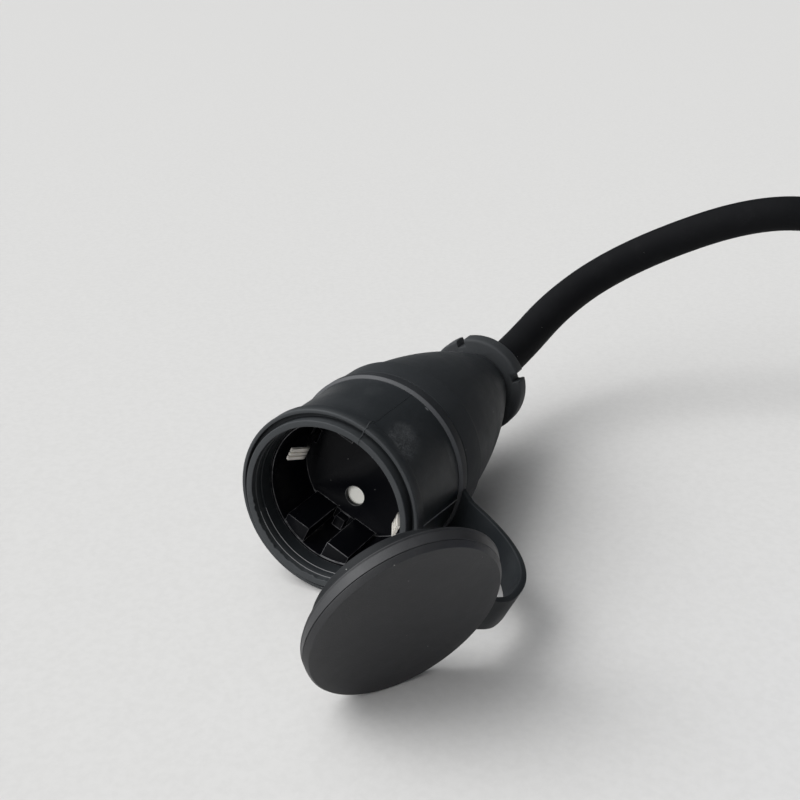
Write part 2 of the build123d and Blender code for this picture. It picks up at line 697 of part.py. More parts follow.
def plug_pin_carrier():
    """Insulating disc that holds the plug's pins inside the shroud."""
    radius = PLUG_SHROUD_RADIUS - PLUG_SHROUD_WALL - SLIP
    front = plug_base_front
    body = plug_turned([
        (front - PLUG_BASE_THICKNESS, 0), (front - PLUG_BASE_THICKNESS, radius), (front, radius), (front, 0),
    ])
    sizes = (PLUG_LIVE_PIN_RADIUS, PLUG_LIVE_PIN_RADIUS, PLUG_EARTH_PIN_RADIUS)
    for (y, z), radius in zip(plug_pin_places(), sizes):
        shank = radius - PLUG_PIN_SHOULDER
        hole = Cylinder(shank + SLIP, 2 * PLUG_BASE_THICKNESS, rotation=(0, 90, 0))
        body -= Pos(front - PLUG_BASE_THICKNESS / 2, plug_axis[0] + y, plug_axis[1] + z) * hole
    return body


def plug_pin(place, radius):
    """One round pin of the plug: a domed tip, a shoulder and a thinner shank through its carrier."""
    back = plug_base_front - PLUG_BASE_THICKNESS
    shank = PLUG_BASE_THICKNESS + RUN
    pin = Cylinder(radius - PLUG_PIN_SHOULDER, shank, align=FOOT)
    pin += Pos(0, 0, shank) * Cylinder(radius, PLUG_PIN_LENGTH - RUN, align=FOOT)
    pin = fillet(pin.edges().filter_by(GeomType.CIRCLE).sort_by(Axis.Z)[-1:], PLUG_PIN_ROUNDING)
    return Pos(back, plug_axis[0] + place[0], plug_axis[1] + place[1]) * Rot(Y=90) * pin


def plug_gland_nut():
    """Blue ten-sided gland nut on the plug's neck."""
    outline = RegularPolygon(PLUG_NUT_RADIUS, PLUG_NUT_FLAT_COUNT)
    nut = extrude(outline, PLUG_NUT_LENGTH)
    nut -= Cylinder(CABLE_RADIUS + RUN, 3 * PLUG_NUT_LENGTH)
    thread = PLUG_NECK_RADIUS - PLUG_WALL + SLIP
    nut -= Pos(0, 0, PLUG_WALL) * Cylinder(thread, PLUG_NUT_LENGTH, align=FOOT)
    return Pos(plug_nut_back, *plug_axis) * Rot(Y=90) * nut


def plug_gland_seal():
    """Rubber bush in the plug's neck round the cable."""
    outer = CABLE_RADIUS + SEAL_WALL
    return plug_turned([
        (plug_nut_back + PLUG_WALL + SLIP, CABLE_RADIUS + SLIP),
        (plug_nut_back + PLUG_WALL + SLIP, outer),
        (plug_neck_front, outer),
        (plug_neck_front, CABLE_RADIUS + SLIP),
    ])


pin_places = plug_pin_places()
parts = {
    "front_sleeve": front_sleeve(),
    "contact_carrier": contact_carrier(),
    "shutter": shutter(),
    "shutter_spring": shutter_spring(),
    "terminal_block": terminal_block(),
    "contact_line": contact(180),
    "contact_neutral": contact(0),
    "earth_bracket": earth_bracket(),
    "terminal_screws": terminal_screws(),
    "core_line": core(terminal_back + RUN, -PIN_OFFSET, CORE_ANGLES[0]),
    "core_neutral": core(terminal_back + RUN, PIN_OFFSET, CORE_ANGLES[1]),
    "core_earth": core(earth_terminal_back + RUN, 0, CORE_ANGLES[2]),
    "rear_hood": rear_hood(),
    "gland_nut": gland_nut(),
    "gland_seal": gland_seal(),
    "lid_ring": lid_ring(),
    "lid_strap": lid_strap(),
    "lid": lid(),
    "cable": cable(),
    "plug_rear_housing": plug_rear_housing(),
    "plug_shroud": plug_shroud(),
    "plug_pin_carrier": plug_pin_carrier(),
    "plug_pin_line": plug_pin(pin_places[0], PLUG_LIVE_PIN_RADIUS),
    "plug_pin_neutral": plug_pin(pin_places[1], PLUG_LIVE_PIN_RADIUS),
    "plug_pin_earth": plug_pin(pin_places[2], PLUG_EARTH_PIN_RADIUS),
    "plug_gland_nut": plug_gland_nut(),
    "plug_gland_seal": plug_gland_seal(),
}

os.makedirs("parts", exist_ok=True)
for name, solid in parts.items():
    export_step(solid, f"parts/{name}.step")
    print(name, round(solid.volume), "mm3")
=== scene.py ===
"""Looks of a rubber socket coupling with a tethered lid, its heavy cable and its blue round-pin plug.

Everything is in metres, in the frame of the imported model: the origin is the middle of the coupling's mouth,
+X points out of the mouth and +Z up. Lengths are written in millimetres and turned to metres by MM, and
angles are written in degrees.
"""

import logging
from dataclasses import dataclass, field
from enum import Enum
from math import atan2, cos, degrees, exp, hypot, pi, radians, sin, tan
from typing import Callable, Sequence

import bpy
from mathutils import Matrix, Vector, noise


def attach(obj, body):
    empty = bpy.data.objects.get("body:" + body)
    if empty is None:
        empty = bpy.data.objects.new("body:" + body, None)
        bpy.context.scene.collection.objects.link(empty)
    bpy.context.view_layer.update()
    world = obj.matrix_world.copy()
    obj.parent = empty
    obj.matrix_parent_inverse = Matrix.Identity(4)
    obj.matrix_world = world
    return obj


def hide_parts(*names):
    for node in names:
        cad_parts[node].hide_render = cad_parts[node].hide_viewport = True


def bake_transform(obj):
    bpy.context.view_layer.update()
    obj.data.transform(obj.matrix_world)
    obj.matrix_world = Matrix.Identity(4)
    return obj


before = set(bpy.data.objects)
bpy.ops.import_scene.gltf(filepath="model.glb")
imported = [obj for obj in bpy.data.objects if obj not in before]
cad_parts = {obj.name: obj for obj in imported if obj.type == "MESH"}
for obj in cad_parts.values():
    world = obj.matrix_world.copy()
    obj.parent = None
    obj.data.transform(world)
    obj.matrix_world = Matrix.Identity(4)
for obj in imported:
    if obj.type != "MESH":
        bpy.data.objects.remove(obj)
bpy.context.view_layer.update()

log = logging.getLogger("coupling")

MM = 0.001

# Fineness of the meshes
WELD = 1e-6
TURN_STEPS = 192
FINE_TURN_STEPS = 320
ROUND_STEPS = 4
ROUND_SHARE = 0.48
BEVEL_STEPS = 2
CURVE_STEPS = 16
THREAD_ROUNDNESS = 2
CABLE_ROUNDNESS = 8
FLAT_ANGLE = radians(0.6)
SMOOTH_ANGLE = radians(32)
SHARP_ANGLE = radians(38)

# Sizes that several sub-assemblies share
RIM = 27.0
TABLE = -RIM
RING_FRONT = -28.8
RING_BACK = -33.7
RING_SEAT = 24.4

# Masks and colours that several finishes share
SPECK_CORE = 0.6
SPECK_STEP = 0.01
PATCH_CORE = 0.35
SPECK_GREY = (0.5, 0.5, 0.48)
# Black of the painted shade deep in the socket
PAINTED_SHADE_BLACK = (0.012, 0.012, 0.012)

Colour = tuple[float, float, float]
Spot = tuple[float, float, float]
Piece = bpy.types.Object
Socket = bpy.types.NodeSocket
Value = Socket | float | Colour


class Body(Enum):
    """The bodies of the frame that carry new pieces."""

    COUPLING = "coupling"
    LID = "lid"


class Line(Enum):
    """How a tube runs past its spots."""

    STRAIGHT = "POLY"
    SMOOTH = "NURBS"


class NodeSheet:
    """A material's node tree, laid out one node at a time."""

    def __init__(self, name: str) -> None:
        """Start a material with its shader and the object's own coordinates.

        Args:
            name: Name of the material.
        """
        self.material = bpy.data.materials.new(name)
        self.material.use_nodes = True
        self.tree = self.material.node_tree
        self.shader = self.tree.nodes["Principled BSDF"]
        self.place = self.add("ShaderNodeTexCoord").outputs["Object"]

    def add(self, kind: str, **settings: object) -> bpy.types.Node:
        """Add a node.

        Args:
            kind: Blender's name of the node type.
            **settings: Properties to set on the node.

        Returns:
            The new node.
        """
        node = self.tree.nodes.new(kind)
        for key, value in settings.items():
            setattr(node, key, value)
        return node

    def feed(self, socket: Socket, value: Value) -> None:
        """Link a value to a socket, or set it there where it is a plain number or colour.

        Args:
            socket: The socket that takes the value.
            value: Another node's output, or the value itself.
        """
        if isinstance(value, Socket):
            self.tree.links.new(value, socket)
        else:
            socket.default_value = value

    def axis(self, name: str) -> Socket:
        """One of the object's own coordinates.

        Args:
            name: X, Y or Z.

        Returns:
            The coordinate, in metres.
        """
        parts = self.add("ShaderNodeSeparateXYZ")
        self.feed(parts.inputs[0], self.place)
        return parts.outputs[name]

    def stretched(self, scale: Spot, turn: Spot = (0, 0, 0), centre: Spot = (0, 0, 0)) -> Socket:
        """The object's coordinates moved to a centre, turned and scaled.

        Args:
            scale: Scale along each axis.
            turn: Turn about each axis.
            centre: Centre in metres that becomes the origin.

        Returns:
            The mapped coordinates.
        """
        node = self.add("ShaderNodeMapping", vector_type="TEXTURE")
        self.feed(node.inputs["Vector"], self.place)
        node.inputs["Location"].default_value = centre
        node.inputs["Rotation"].default_value = [radians(angle) for angle in turn]
        node.inputs["Scale"].default_value = [1 / value for value in scale]
        return node.outputs["Vector"]

    def grain(self, scale: float, detail: float, rough: float, place: Socket | None = None) -> Socket:
        """A noise value.

        Args:
            scale: Waves to the metre.
            detail: Octaves of finer noise.
            rough: How strong the finer octaves are.
            place: Coordinates to use instead of the object's own.

        Returns:
            The noise, from 0 to 1.
        """
        node = self.add("ShaderNodeTexNoise")
        self.feed(node.inputs["Vector"], place or self.place)
        node.inputs["Scale"].default_value = scale
        node.inputs["Detail"].default_value = detail
        node.inputs["Roughness"].default_value = rough
        return node.outputs["Fac"]

    def ramp(self, value: Value, low: float, high: float, bottom: float = 0, top: float = 1) -> Socket:
        """A smooth step of a value.

        Args:
            value: The value to map.
            low: Where the step starts.
            high: Where it ends.
            bottom: Result before the step.
            top: Result after it.

        Returns:
            The stepped value.
        """
        node = self.add("ShaderNodeMapRange", interpolation_type="SMOOTHSTEP")
        for socket, number in zip(node.inputs[:5], (value, low, high, bottom, top)):
            self.feed(socket, number)
        return node.outputs["Result"]

    def times(self, first: Value, *others: Value) -> Socket:
        """The product of several values.

        Args:
            first: The first of them.
            *others: What it is multiplied by.

        Returns:
            The product.
        """
        product = first
        for value in others:
            node = self.add("ShaderNodeMath", operation="MULTIPLY")
            self.feed(node.inputs[0], product)
            self.feed(node.inputs[1], value)
            product = node.outputs[0]
        return product

    def tint(self, share: Value, first: Value, second: Value) -> Socket:
        """A mix of two colours.

        Args:
            share: Share of the second colour.
            first: First colour.
            second: Second colour.

        Returns:
            The mixed colour.
        """
        node = self.add("ShaderNodeMix", data_type="RGBA")
        self.feed(node.inputs[0], share)
        for socket, colour in zip(node.inputs[6:8], (first, second)):
            self.feed(socket, (*colour, 1) if isinstance(colour, tuple) else colour)
        return node.outputs[2]

    def specks(self, scale: float, size: float, share: float, strength: float) -> Socket:
        """Sparse round specks.

        Args:
            scale: Cells to the metre.
            size: Radius of a speck as a share of its cell.
            share: Share of the cells that hold a speck.
            strength: Strength of a speck.

        Returns:
            A mask, with the strength on a speck and 0 elsewhere.
        """
        cells = self.add("ShaderNodeTexVoronoi")
        self.feed(cells.inputs["Vector"], self.place)
        cells.inputs["Scale"].default_value = scale
        chosen = self.add("ShaderNodeSeparateColor")
        self.feed(chosen.inputs[0], cells.outputs["Color"])
        spot = self.ramp(cells.outputs["Distance"], size * SPECK_CORE, size, bottom=1, top=0)
        held = self.ramp(chosen.outputs[0], 1 - share, 1 - share + SPECK_STEP, top=strength)
        return self.times(spot, held)

    def patch(self, centre: Spot, reach: Spot, turn: Spot) -> Socket:
        """A soft round patch.

        Args:
            centre: Middle of the patch.
            reach: Half its length along each axis.
            turn: Its turn about each axis.

        Returns:
            A mask, 1 in the middle and 0 outside.
        """
        scale = tuple(1 / (value * MM) for value in reach)
        place = self.stretched(scale, turn, tuple(value * MM for value in centre))
        length = self.add("ShaderNodeVectorMath", operation="LENGTH")
        self.feed(length.inputs[0], place)
        return self.ramp(length.outputs["Value"], low=PATCH_CORE, high=1, bottom=1, top=0)

    def bump(self, height: Socket, depth: float, below: Socket | None = None) -> Socket:
        """A bump.

        Args:
            height: Height map.
            depth: Height of the map's full range.
            below: Normal of another bump under this one.

        Returns:
            The bent normal.
        """
        node = self.add("ShaderNodeBump")
        node.inputs["Strength"].default_value = 1
        node.inputs["Distance"].default_value = depth * MM
        self.feed(node.inputs["Height"], height)
        if below is not None:
            self.feed(node.inputs["Normal"], below)
        return node.outputs["Normal"]

    def finish(self, colour: Value, roughness: Value, normal: Socket, metallic: float = 0,
               specular: float = 0.5) -> bpy.types.Material:
        """Feed the shader.

        Args:
            colour: Base colour.
            roughness: Roughness.
            normal: Bent normal.
            metallic: 1 for a metal.
            specular: Strength of the gloss.

        Returns:
            The finished material.
        """
        self.feed(self.shader.inputs["Base Color"], colour)
        self.feed(self.shader.inputs["Roughness"], roughness)
        self.feed(self.shader.inputs["Normal"], normal)
        self.shader.inputs["Metallic"].default_value = metallic
        self.shader.inputs["Specular IOR Level"].default_value = specular
        return self.material


@dataclass(frozen=True)
class Smear:
    """A paler smear on the rubber: its middle, half lengths, strength, turn and streaks. Most are dust; one
    is a painted reflection.
    """

    centre: Spot
    reach: Spot
    strength: float
    turn: Spot = (0, 0, 0)
    streaks: Spot = (1.0, 1.0, 1.0)
    solid: bool = False

    def mask(self, sheet: NodeSheet) -> Socket:
        """How strongly the smear covers each spot.

        Args:
            sheet: The rubber's node tree.

        Returns:
            The cover, from 0 to the smear's strength.
        """
        cover = sheet.times(sheet.patch(self.centre, self.reach, self.turn), self.strength)
        if self.solid:
            return cover
        streaks = sheet.stretched(self.streaks, self.turn)
        rubbed = sheet.grain(scale=1900, detail=4, rough=0.75, place=streaks)
        broad = sheet.grain(scale=260, detail=3, rough=0.6, place=streaks)
        return sheet.times(cover, sheet.ramp(rubbed, low=0.3, high=0.75),
                           sheet.ramp(broad, low=0.3, high=0.75, bottom=0.25))


@dataclass(frozen=True)
class Rubber:
    """Matte moulded rubber with a fine grain, dust, specks and smears of rubbed dust and a painted
    reflection, paler at the mouth's end.
    """

    name: str
    slot: str
    colour: Colour
    pale: Colour = (0.16, 0.165, 0.17)
    roughness: float = 0.5
    smoother: float = 0.06
    rougher: float = 0.1
    specular: float = 0.22
    grain_scale: float = 2600
    grain_depth: float = 0.03
    lump_depth: float = 0.06
    cloud: float = 0.035
    dust: float = 0.08
    speck_share: float = 0.05
    speck_strength: float = 0.55
    mouth_paling: float = 0.0
    paling_from: float = -2.6
    paling_to: float = -0.2
    smears: tuple[Smear, ...] = ()

    def material(self) -> bpy.types.Material:
        """The rubber as a material.

        Returns:
            The material.
        """
        sheet = NodeSheet(self.name)
        cloud = sheet.grain(scale=70, detail=5, rough=0.6)
        fine = sheet.grain(scale=self.grain_scale, detail=2, rough=0.5)
        lumps = sheet.grain(scale=240, detail=4, rough=0.6)
        drawn = sheet.stretched(scale=(0.35, 1.6, 1.6), turn=(0, 0, 18))
        scuff = sheet.grain(scale=90, detail=4, rough=0.65, place=drawn)
        dust = sheet.times(sheet.ramp(scuff, low=0.52, high=0.75),
                           sheet.ramp(fine, low=0.35, high=0.7, top=self.dust))
        base = sheet.tint(sheet.ramp(cloud, low=0.35, high=0.75, top=self.cloud), self.colour, self.pale)
        base = sheet.tint(dust, base, self.pale)
        for smear in self.smears:
            base = sheet.tint(smear.mask(sheet), base, self.pale)
        # Paler towards the mouth's front end
        if self.mouth_paling:
            paling = sheet.ramp(sheet.axis("X"), low=self.paling_from * MM, high=self.paling_to * MM,
                               top=self.mouth_paling)
            base = sheet.tint(paling, base, self.pale)
        specks = sheet.specks(scale=520, size=0.07, share=self.speck_share, strength=self.speck_strength)
        base = sheet.tint(specks, base, SPECK_GREY)
        rough = sheet.ramp(cloud, low=0.3, high=0.75,
                           bottom=self.roughness - self.smoother, top=self.roughness + self.rougher)
        normal = sheet.bump(lumps, self.lump_depth, below=sheet.bump(fine, self.grain_depth))
        return sheet.finish(base, rough, normal, specular=self.specular)


@dataclass(frozen=True)
class Plastic:
    """Moulded plastic with a soft mould texture, faint flow clouds and fine scratches. Given a gap colour,
    its own colour is a painted highlight broken into patches.
    """

    name: str
    slot: str
    colour: Colour
    roughness: float = 0.38
    smoother: float = 0.05
    rougher: float = 0.09
    specular: float = 0.45
    wear: float = 0.12
    dark_share: float = 0.8
    pale_share: float = 1.15
    pale_lift: float = 0.03
    grain_depth: float = 0.012
    scratch_depth: float = 0.018
    highlight_gaps: Colour | None = None

    def material(self) -> bpy.types.Material:
        """The plastic as a material.

        Returns:
            The material.
        """
        sheet = NodeSheet(self.name)
        cloud = sheet.grain(scale=55, detail=4, rough=0.55)
        fine = sheet.grain(scale=3200, detail=2, rough=0.5)
        drawn = sheet.stretched(scale=(0.12, 2.4, 2.0), turn=(0, 24, 31))
        scratch = sheet.grain(scale=110, detail=5, rough=0.7, place=drawn)
        darker = tuple(value * self.dark_share for value in self.colour)
        paler = tuple(min(1, value * self.pale_share + self.pale_lift) for value in self.colour)
        base = sheet.tint(sheet.ramp(cloud, low=0.3, high=0.7), self.colour, darker)
        base = sheet.tint(sheet.ramp(scratch, low=0.6, high=0.68, top=self.wear), base, paler)
        base = sheet.tint(sheet.specks(scale=430, size=0.06, share=0.04, strength=0.4), base, SPECK_GREY)
        # Painted highlight broken into patches of the gap colour
        if self.highlight_gaps:
            rubbed = sheet.grain(scale=210, detail=4, rough=0.7)
            base = sheet.tint(sheet.ramp(rubbed, low=0.4, high=0.62), self.highlight_gaps, base)
        rough = sheet.ramp(cloud, low=0.3, high=0.75,
                           bottom=self.roughness - self.smoother, top=self.roughness + self.rougher)
        normal = sheet.bump(scratch, self.scratch_depth, below=sheet.bump(fine, self.grain_depth))
        return sheet.finish(base, rough, normal, specular=self.specular)


@dataclass(frozen=True)
class Metal:
    """Bare or plated metal, drawn or stamped, with faint tarnish, and painted shade that turns it black where
    it goes deep into the socket.
    """

    name: str
    slot: str
    colour: Colour
    tarnish: Colour
    roughness: float = 0.24
    smoother: float = 0.06
    rougher: float = 0.12
    metallic: float = 1.0
    grain_depth: float = 0.008
    # Painted shade: black deeper into the socket, between these places along the axis
    shade_from: float | None = None
    shade_to: float = 0.0

    def material(self) -> bpy.types.Material:
        """The metal as a material.

        Returns:
            The material.
        """
        sheet = NodeSheet(self.name)
        drawn = sheet.grain(scale=900, detail=3, rough=0.6, place=sheet.stretched(scale=(0.06, 1, 1)))
        stain = sheet.grain(scale=160, detail=4, rough=0.6)
        base = sheet.tint(sheet.ramp(stain, low=0.48, high=0.78, top=0.5), self.colour, self.tarnish)
        # Painted shade: the colour goes black deeper into the socket
        if self.shade_from is not None:
            bright = sheet.ramp(sheet.axis("X"), low=self.shade_to * MM, high=self.shade_from * MM)
            base = sheet.tint(bright, PAINTED_SHADE_BLACK, base)
        rough = sheet.ramp(drawn, low=0.3, high=0.7,
                           bottom=self.roughness - self.smoother, top=self.roughness + self.rougher)
        return sheet.finish(base, rough, sheet.bump(drawn, self.grain_depth), self.metallic)


@dataclass(frozen=True)
class StripedCore:
    """Insulated core with two colours in long stripes."""

    name: str
    slot: str
    colour: Colour
    stripe: Colour
    blur: float = 0.2
    grain_depth: float = 0.01

    def material(self) -> bpy.types.Material:
        """The insulation as a material.

        Returns:
            The material.
        """
        sheet = NodeSheet(self.name)
        base = sheet.tint(sheet.ramp(sheet.axis("Z"), low=0, high=self.blur * MM), self.colour, self.stripe)
        soft = sheet.grain(scale=900, detail=3, rough=0.5)
        rough = sheet.ramp(soft, low=0.2, high=0.8, bottom=0.35, top=0.5)
        return sheet.finish(base, rough, sheet.bump(soft, self.grain_depth))


@dataclass(frozen=True)
class PaleFloor:
    """Plain pale floor with the faintest mottling."""

    name: str = "pale_floor"
    colour: Colour = (0.61, 0.602, 0.59)
    mottled: Colour = (0.585, 0.577, 0.565)
    roughness: float = 0.9
    specular: float = 0.1
    grain_depth: float = 0.02

    def material(self) -> bpy.types.Material:
        """The floor as a material.

        Returns:
            The material.
        """
        sheet = NodeSheet(self.name)
        soft = sheet.grain(scale=420, detail=3, rough=0.6)
        base = sheet.tint(sheet.ramp(soft, low=0.3, high=0.75), self.colour, self.mottled)
        return sheet.finish(base, self.roughness, sheet.bump(soft, self.grain_depth), specular=self.specular)


# Smears on the barrel: rubbed dust, and one painted reflection
SMEARS = (
    Smear(centre=(-9.6, 18.3, 18.3), reach=(9.0, 6.5, 7.5), strength=0.68, turn=(0, 0, 12),
          streaks=(0.7, 1.2, 1.2)),
    Smear(centre=(-13.0, 17.2, 19.4), reach=(4.4, 4.2, 4.4), strength=0.45),
    Smear(centre=(-22.0, 3.0, 25.6), reach=(4.5, 3.5, 3.0), strength=0.14),
    # Painted reflection: a pale band on the barrel's right side just in front of the ring
    Smear(centre=(-26.4, 24.4, 8.5), reach=(1.8, 3.0, 7.5), strength=0.4, streaks=(2.0, 0.4, 0.4)),
    Smear(centre=(-28.2, 16.0, 20.2), reach=(0.5, 0.9, 0.9), strength=0.9, solid=True),
)

BARREL_RUBBER = Rubber("barrel_rubber", "black_rubber", (0.0165, 0.019, 0.0212), roughness=0.46,
                       specular=0.16, mouth_paling=0.15, smears=SMEARS)
# Pale rubber for painted highlights along the sleeve's inner steps and its low mould line
PAINTED_HIGHLIGHT_RUBBER = Rubber("painted_highlight_rubber", "black_rubber", (0.2, 0.2, 0.205), roughness=0.45)
HOOD_RUBBER = Rubber("hood_rubber", "black_rubber", (0.025, 0.0272, 0.0295), roughness=0.52, specular=0.07)
NUT_RUBBER = Rubber("nut_rubber", "black_rubber", (0.036, 0.0382, 0.0405), roughness=0.5, specular=0.12)
RING_RUBBER = Rubber("ring_rubber", "strap_rubber", (0.02, 0.0215, 0.0238), roughness=0.5, specular=0.14)
# Paler copy of the ring's rubber: painted highlight on the ring's front ridge
RIDGE_HIGHLIGHT_RUBBER = Rubber("ridge_highlight_rubber", "strap_rubber", (0.058, 0.06, 0.064), roughness=0.46)
LID_RUBBER = Rubber("lid_rubber", "strap_rubber", (0.0205, 0.0207, 0.0225), roughness=0.47, specular=0.42,
                    cloud=0.03, dust=0.05, speck_share=0.08)
# Darker copy of the lid's rubber: painted shade on the lid's back, skirt and collar
COLLAR_SHADE_RUBBER = Rubber("collar_shade_rubber", "strap_rubber", (0.0095, 0.0103, 0.0115), roughness=0.5,
                       specular=0.12)
STRAP_RUBBER = Rubber("strap_rubber", "strap_rubber", (0.0125, 0.0145, 0.0165), roughness=0.5)
CABLE_RUBBER = Rubber("cable_rubber", "cable_rubber", (0.007, 0.0072, 0.008), roughness=0.6, specular=0.035,
                      cloud=0.012, dust=0.03)
SEAL_RUBBER = Rubber("seal_rubber", "seal_rubber", (0.02, 0.02, 0.021), roughness=0.62)
INSERT_PLASTIC = Plastic("insert_plastic", "black_plastic", (0.003, 0.0032, 0.0045), roughness=0.3,
                         specular=0.1, wear=0.03)
# Pale plastic for painted highlights on the carrier's rounded edges and its chord line
EDGE_HIGHLIGHT_PLASTIC = Plastic("edge_highlight_plastic", "black_plastic", (0.125, 0.125, 0.13), roughness=0.3,
                       highlight_gaps=(0.012, 0.012, 0.014))
SHUTTER_PLASTIC = Plastic("shutter_plastic", "white_plastic", (0.93, 0.92, 0.86), roughness=0.42, wear=0.05)
PLUG_PLASTIC = Plastic("plug_plastic", "plug_blue", (0.012, 0.085, 0.36), roughness=0.36)
CARRIER_PLASTIC = Plastic("carrier_plastic", "plug_grey", (0.16, 0.165, 0.17), roughness=0.45)
BROWN_CORE = Plastic("brown_core", "core_brown", (0.09, 0.035, 0.015), roughness=0.42)
BLUE_CORE = Plastic("blue_core", "core_blue", (0.02, 0.09, 0.42), roughness=0.42)
EARTH_CORE = StripedCore("earth_core", "core_green_yellow", (0.02, 0.22, 0.04), stripe=(0.62, 0.5, 0.02))
# The clips turn black into painted shade deep in the socket
NICKEL = Metal("clip_nickel", "earth_nickel", (0.95, 0.91, 0.84), tarnish=(0.85, 0.8, 0.72), roughness=0.36,
               metallic=0.25, shade_from=-11.2, shade_to=-14.6)
PIN_NICKEL = Metal("pin_nickel", "pin_nickel", (0.72, 0.7, 0.66), tarnish=(0.5, 0.47, 0.42), roughness=0.18)
BRASS = Metal("contact_brass", "contact_brass", (0.78, 0.57, 0.26), tarnish=(0.42, 0.27, 0.11))
STEEL = Metal("screw_steel", "screw_steel", (0.56, 0.57, 0.58), tarnish=(0.36, 0.35, 0.33), roughness=0.28)
SPRING = Metal("spring_steel", "spring_steel", (0.5, 0.51, 0.53), tarnish=(0.33, 0.32, 0.3), roughness=0.25)

Finish = Rubber | Plastic | Metal | StripedCore


@dataclass(frozen=True)
class Corner:
    """A corner of a turned outline: place along the axis, distance from it, rounding."""

    along: float
    out: float
    rounding: float = 0.0


def rounded(corners: Sequence[Corner]) -> list[Vector]:
    """Round the corners of a closed outline.

    Args:
        corners: Corners in order round the outline.

    Returns:
        Spots of the outline in metres, x along the axis and z out from it.
    """
    places = [Vector((corner.along, 0, corner.out)) * MM for corner in corners]
    spots = []
    for index, corner in enumerate(corners):
        here = places[index]
        if not corner.rounding:
            spots.append(here)
            continue
        back = places[index - 1] - here
        ahead = places[(index + 1) % len(places)] - here
        reach = corner.rounding * MM / tan(back.angle(ahead) / 2)
        reach = min(reach, ROUND_SHARE * back.length, ROUND_SHARE * ahead.length)
        first, last = here + back.normalized() * reach, here + ahead.normalized() * reach
        for step in range(ROUND_STEPS + 1):
            share = step / ROUND_STEPS
            spots.append(first.lerp(here, share).lerp(here.lerp(last, share), share))
    return spots


def pick(piece: Piece, *others: Piece) -> None:
    """Select some objects and nothing else.

    Args:
        piece: The object that becomes the active one.
        *others: More objects.
    """
    bpy.ops.object.select_all(action="DESELECT")
    for chosen in (piece, *others):
        chosen.select_set(True)
    bpy.context.view_layer.objects.active = piece


def open_mesh(piece: Piece) -> None:
    """Open a piece for editing, with all of it selected.

    Args:
        piece: The piece.
    """
    pick(piece)
    bpy.ops.object.mode_set(mode="EDIT")
    bpy.ops.mesh.select_all(action="SELECT")


def close_mesh(piece: Piece) -> Piece:
    """Weld an open piece, turn its faces outwards and shade it smooth up to its sharp edges.

    Args:
        piece: The piece that is open for editing.

    Returns:
        The same piece.
    """
    bpy.ops.mesh.select_all(action="SELECT")
    bpy.ops.mesh.remove_doubles(threshold=WELD)
    bpy.ops.mesh.normals_make_consistent(inside=False)
    bpy.ops.object.mode_set(mode="OBJECT")
    bpy.ops.object.shade_smooth_by_angle(angle=SMOOTH_ANGLE)
    return piece


def lathe(name: str, corners: Sequence[Corner], steps: int = TURN_STEPS) -> Piece:
    """Turn a closed outline about the X axis.

    Args:
        name: Name of the piece.
        corners: Corners of the outline.
        steps: Steps of the full turn.

    Returns:
        The turned piece.
    """
    spots = rounded(corners)
    bpy.ops.object.select_all(action="DESELECT")
    bpy.ops.mesh.primitive_plane_add(size=MM)
    piece = bpy.context.object
    piece.name = name
    open_mesh(piece)
    bpy.ops.mesh.merge(type="CENTER")
    bpy.ops.transform.translate(value=spots[0])
    for last, spot in zip(spots, spots[1:] + spots[:1]):
        bpy.ops.mesh.extrude_vertices_move(TRANSFORM_OT_translate={"value": spot - last})
    bpy.ops.mesh.select_all(action="SELECT")
    bpy.ops.mesh.spin(steps=steps, angle=2 * pi, center=(0, 0, 0), axis=(1, 0, 0))
    return close_mesh(piece)


def loft(name: str, rings: Sequence[Sequence[Vector]]) -> Piece:
    """Skin a row of closed sections.

    Args:
        name: Name of the piece.
        rings: Sections in order, each with as many spots.

    Returns:
        The skinned piece, closed at both ends.
    """
    rows, columns = len(rings), len(rings[0])
    bpy.ops.object.select_all(action="DESELECT")
    bpy.ops.mesh.primitive_grid_add(x_subdivisions=columns, y_subdivisions=rows - 1, size=1)
    piece = bpy.context.object
    piece.name = name
    for vertex in piece.data.vertices:
        row, column = divmod(vertex.index, columns + 1)
        vertex.co = rings[row][column % columns]
    open_mesh(piece)
    bpy.ops.mesh.remove_doubles(threshold=WELD)
    bpy.ops.mesh.select_all(action="DESELECT")
    bpy.ops.mesh.select_non_manifold()
    bpy.ops.mesh.fill_holes(sides=0)
    return close_mesh(piece)


def tube(name: str, spots: Sequence[Vector], radius: float, line: Line, roundness: int) -> Piece:
    """A round tube past some spots, as a curve.

    Args:
        name: Name of the piece.
        spots: Spots in metres.
        radius: Radius of the tube.
        line: How it runs past the spots.
        roundness: Steps that round its section.

    Returns:
        The tube, closed at both ends.
    """
    curve = bpy.data.curves.new(name, "CURVE")
    curve.dimensions = "3D"
    curve.bevel_depth = radius * MM
    curve.bevel_resolution = roundness
    curve.resolution_u = CURVE_STEPS
    curve.use_fill_caps = True
    spline = curve.splines.new(line.value)
    spline.points.add(len(spots) - 1)
    for point, spot in zip(spline.points, spots):
        point.co = (*spot, 1)
    piece = bpy.data.objects.new(name, curve)
    bpy.context.collection.objects.link(piece)
    return piece


def thread(name: str, spots: Sequence[Vector], radius: float) -> Piece:
    """A thin round thread along some spots.

    Args:
        name: Name of the piece.
        spots: Spots in metres.
        radius: Radius of the thread.

    Returns:
        The thread as a mesh.
    """
    pick(tube(name, spots, radius, Line.STRAIGHT, THREAD_ROUNDNESS))
    bpy.ops.object.convert(target="MESH")
    return bpy.context.object


def joined(piece: Piece, *others: Piece) -> Piece:
    """Join other meshes into a piece.

    Args:
        piece: The piece that stays.
        *others: Meshes that become part of it.

    Returns:
        The piece.
    """
    pick(piece, *others)
    bpy.ops.object.join()
    return piece


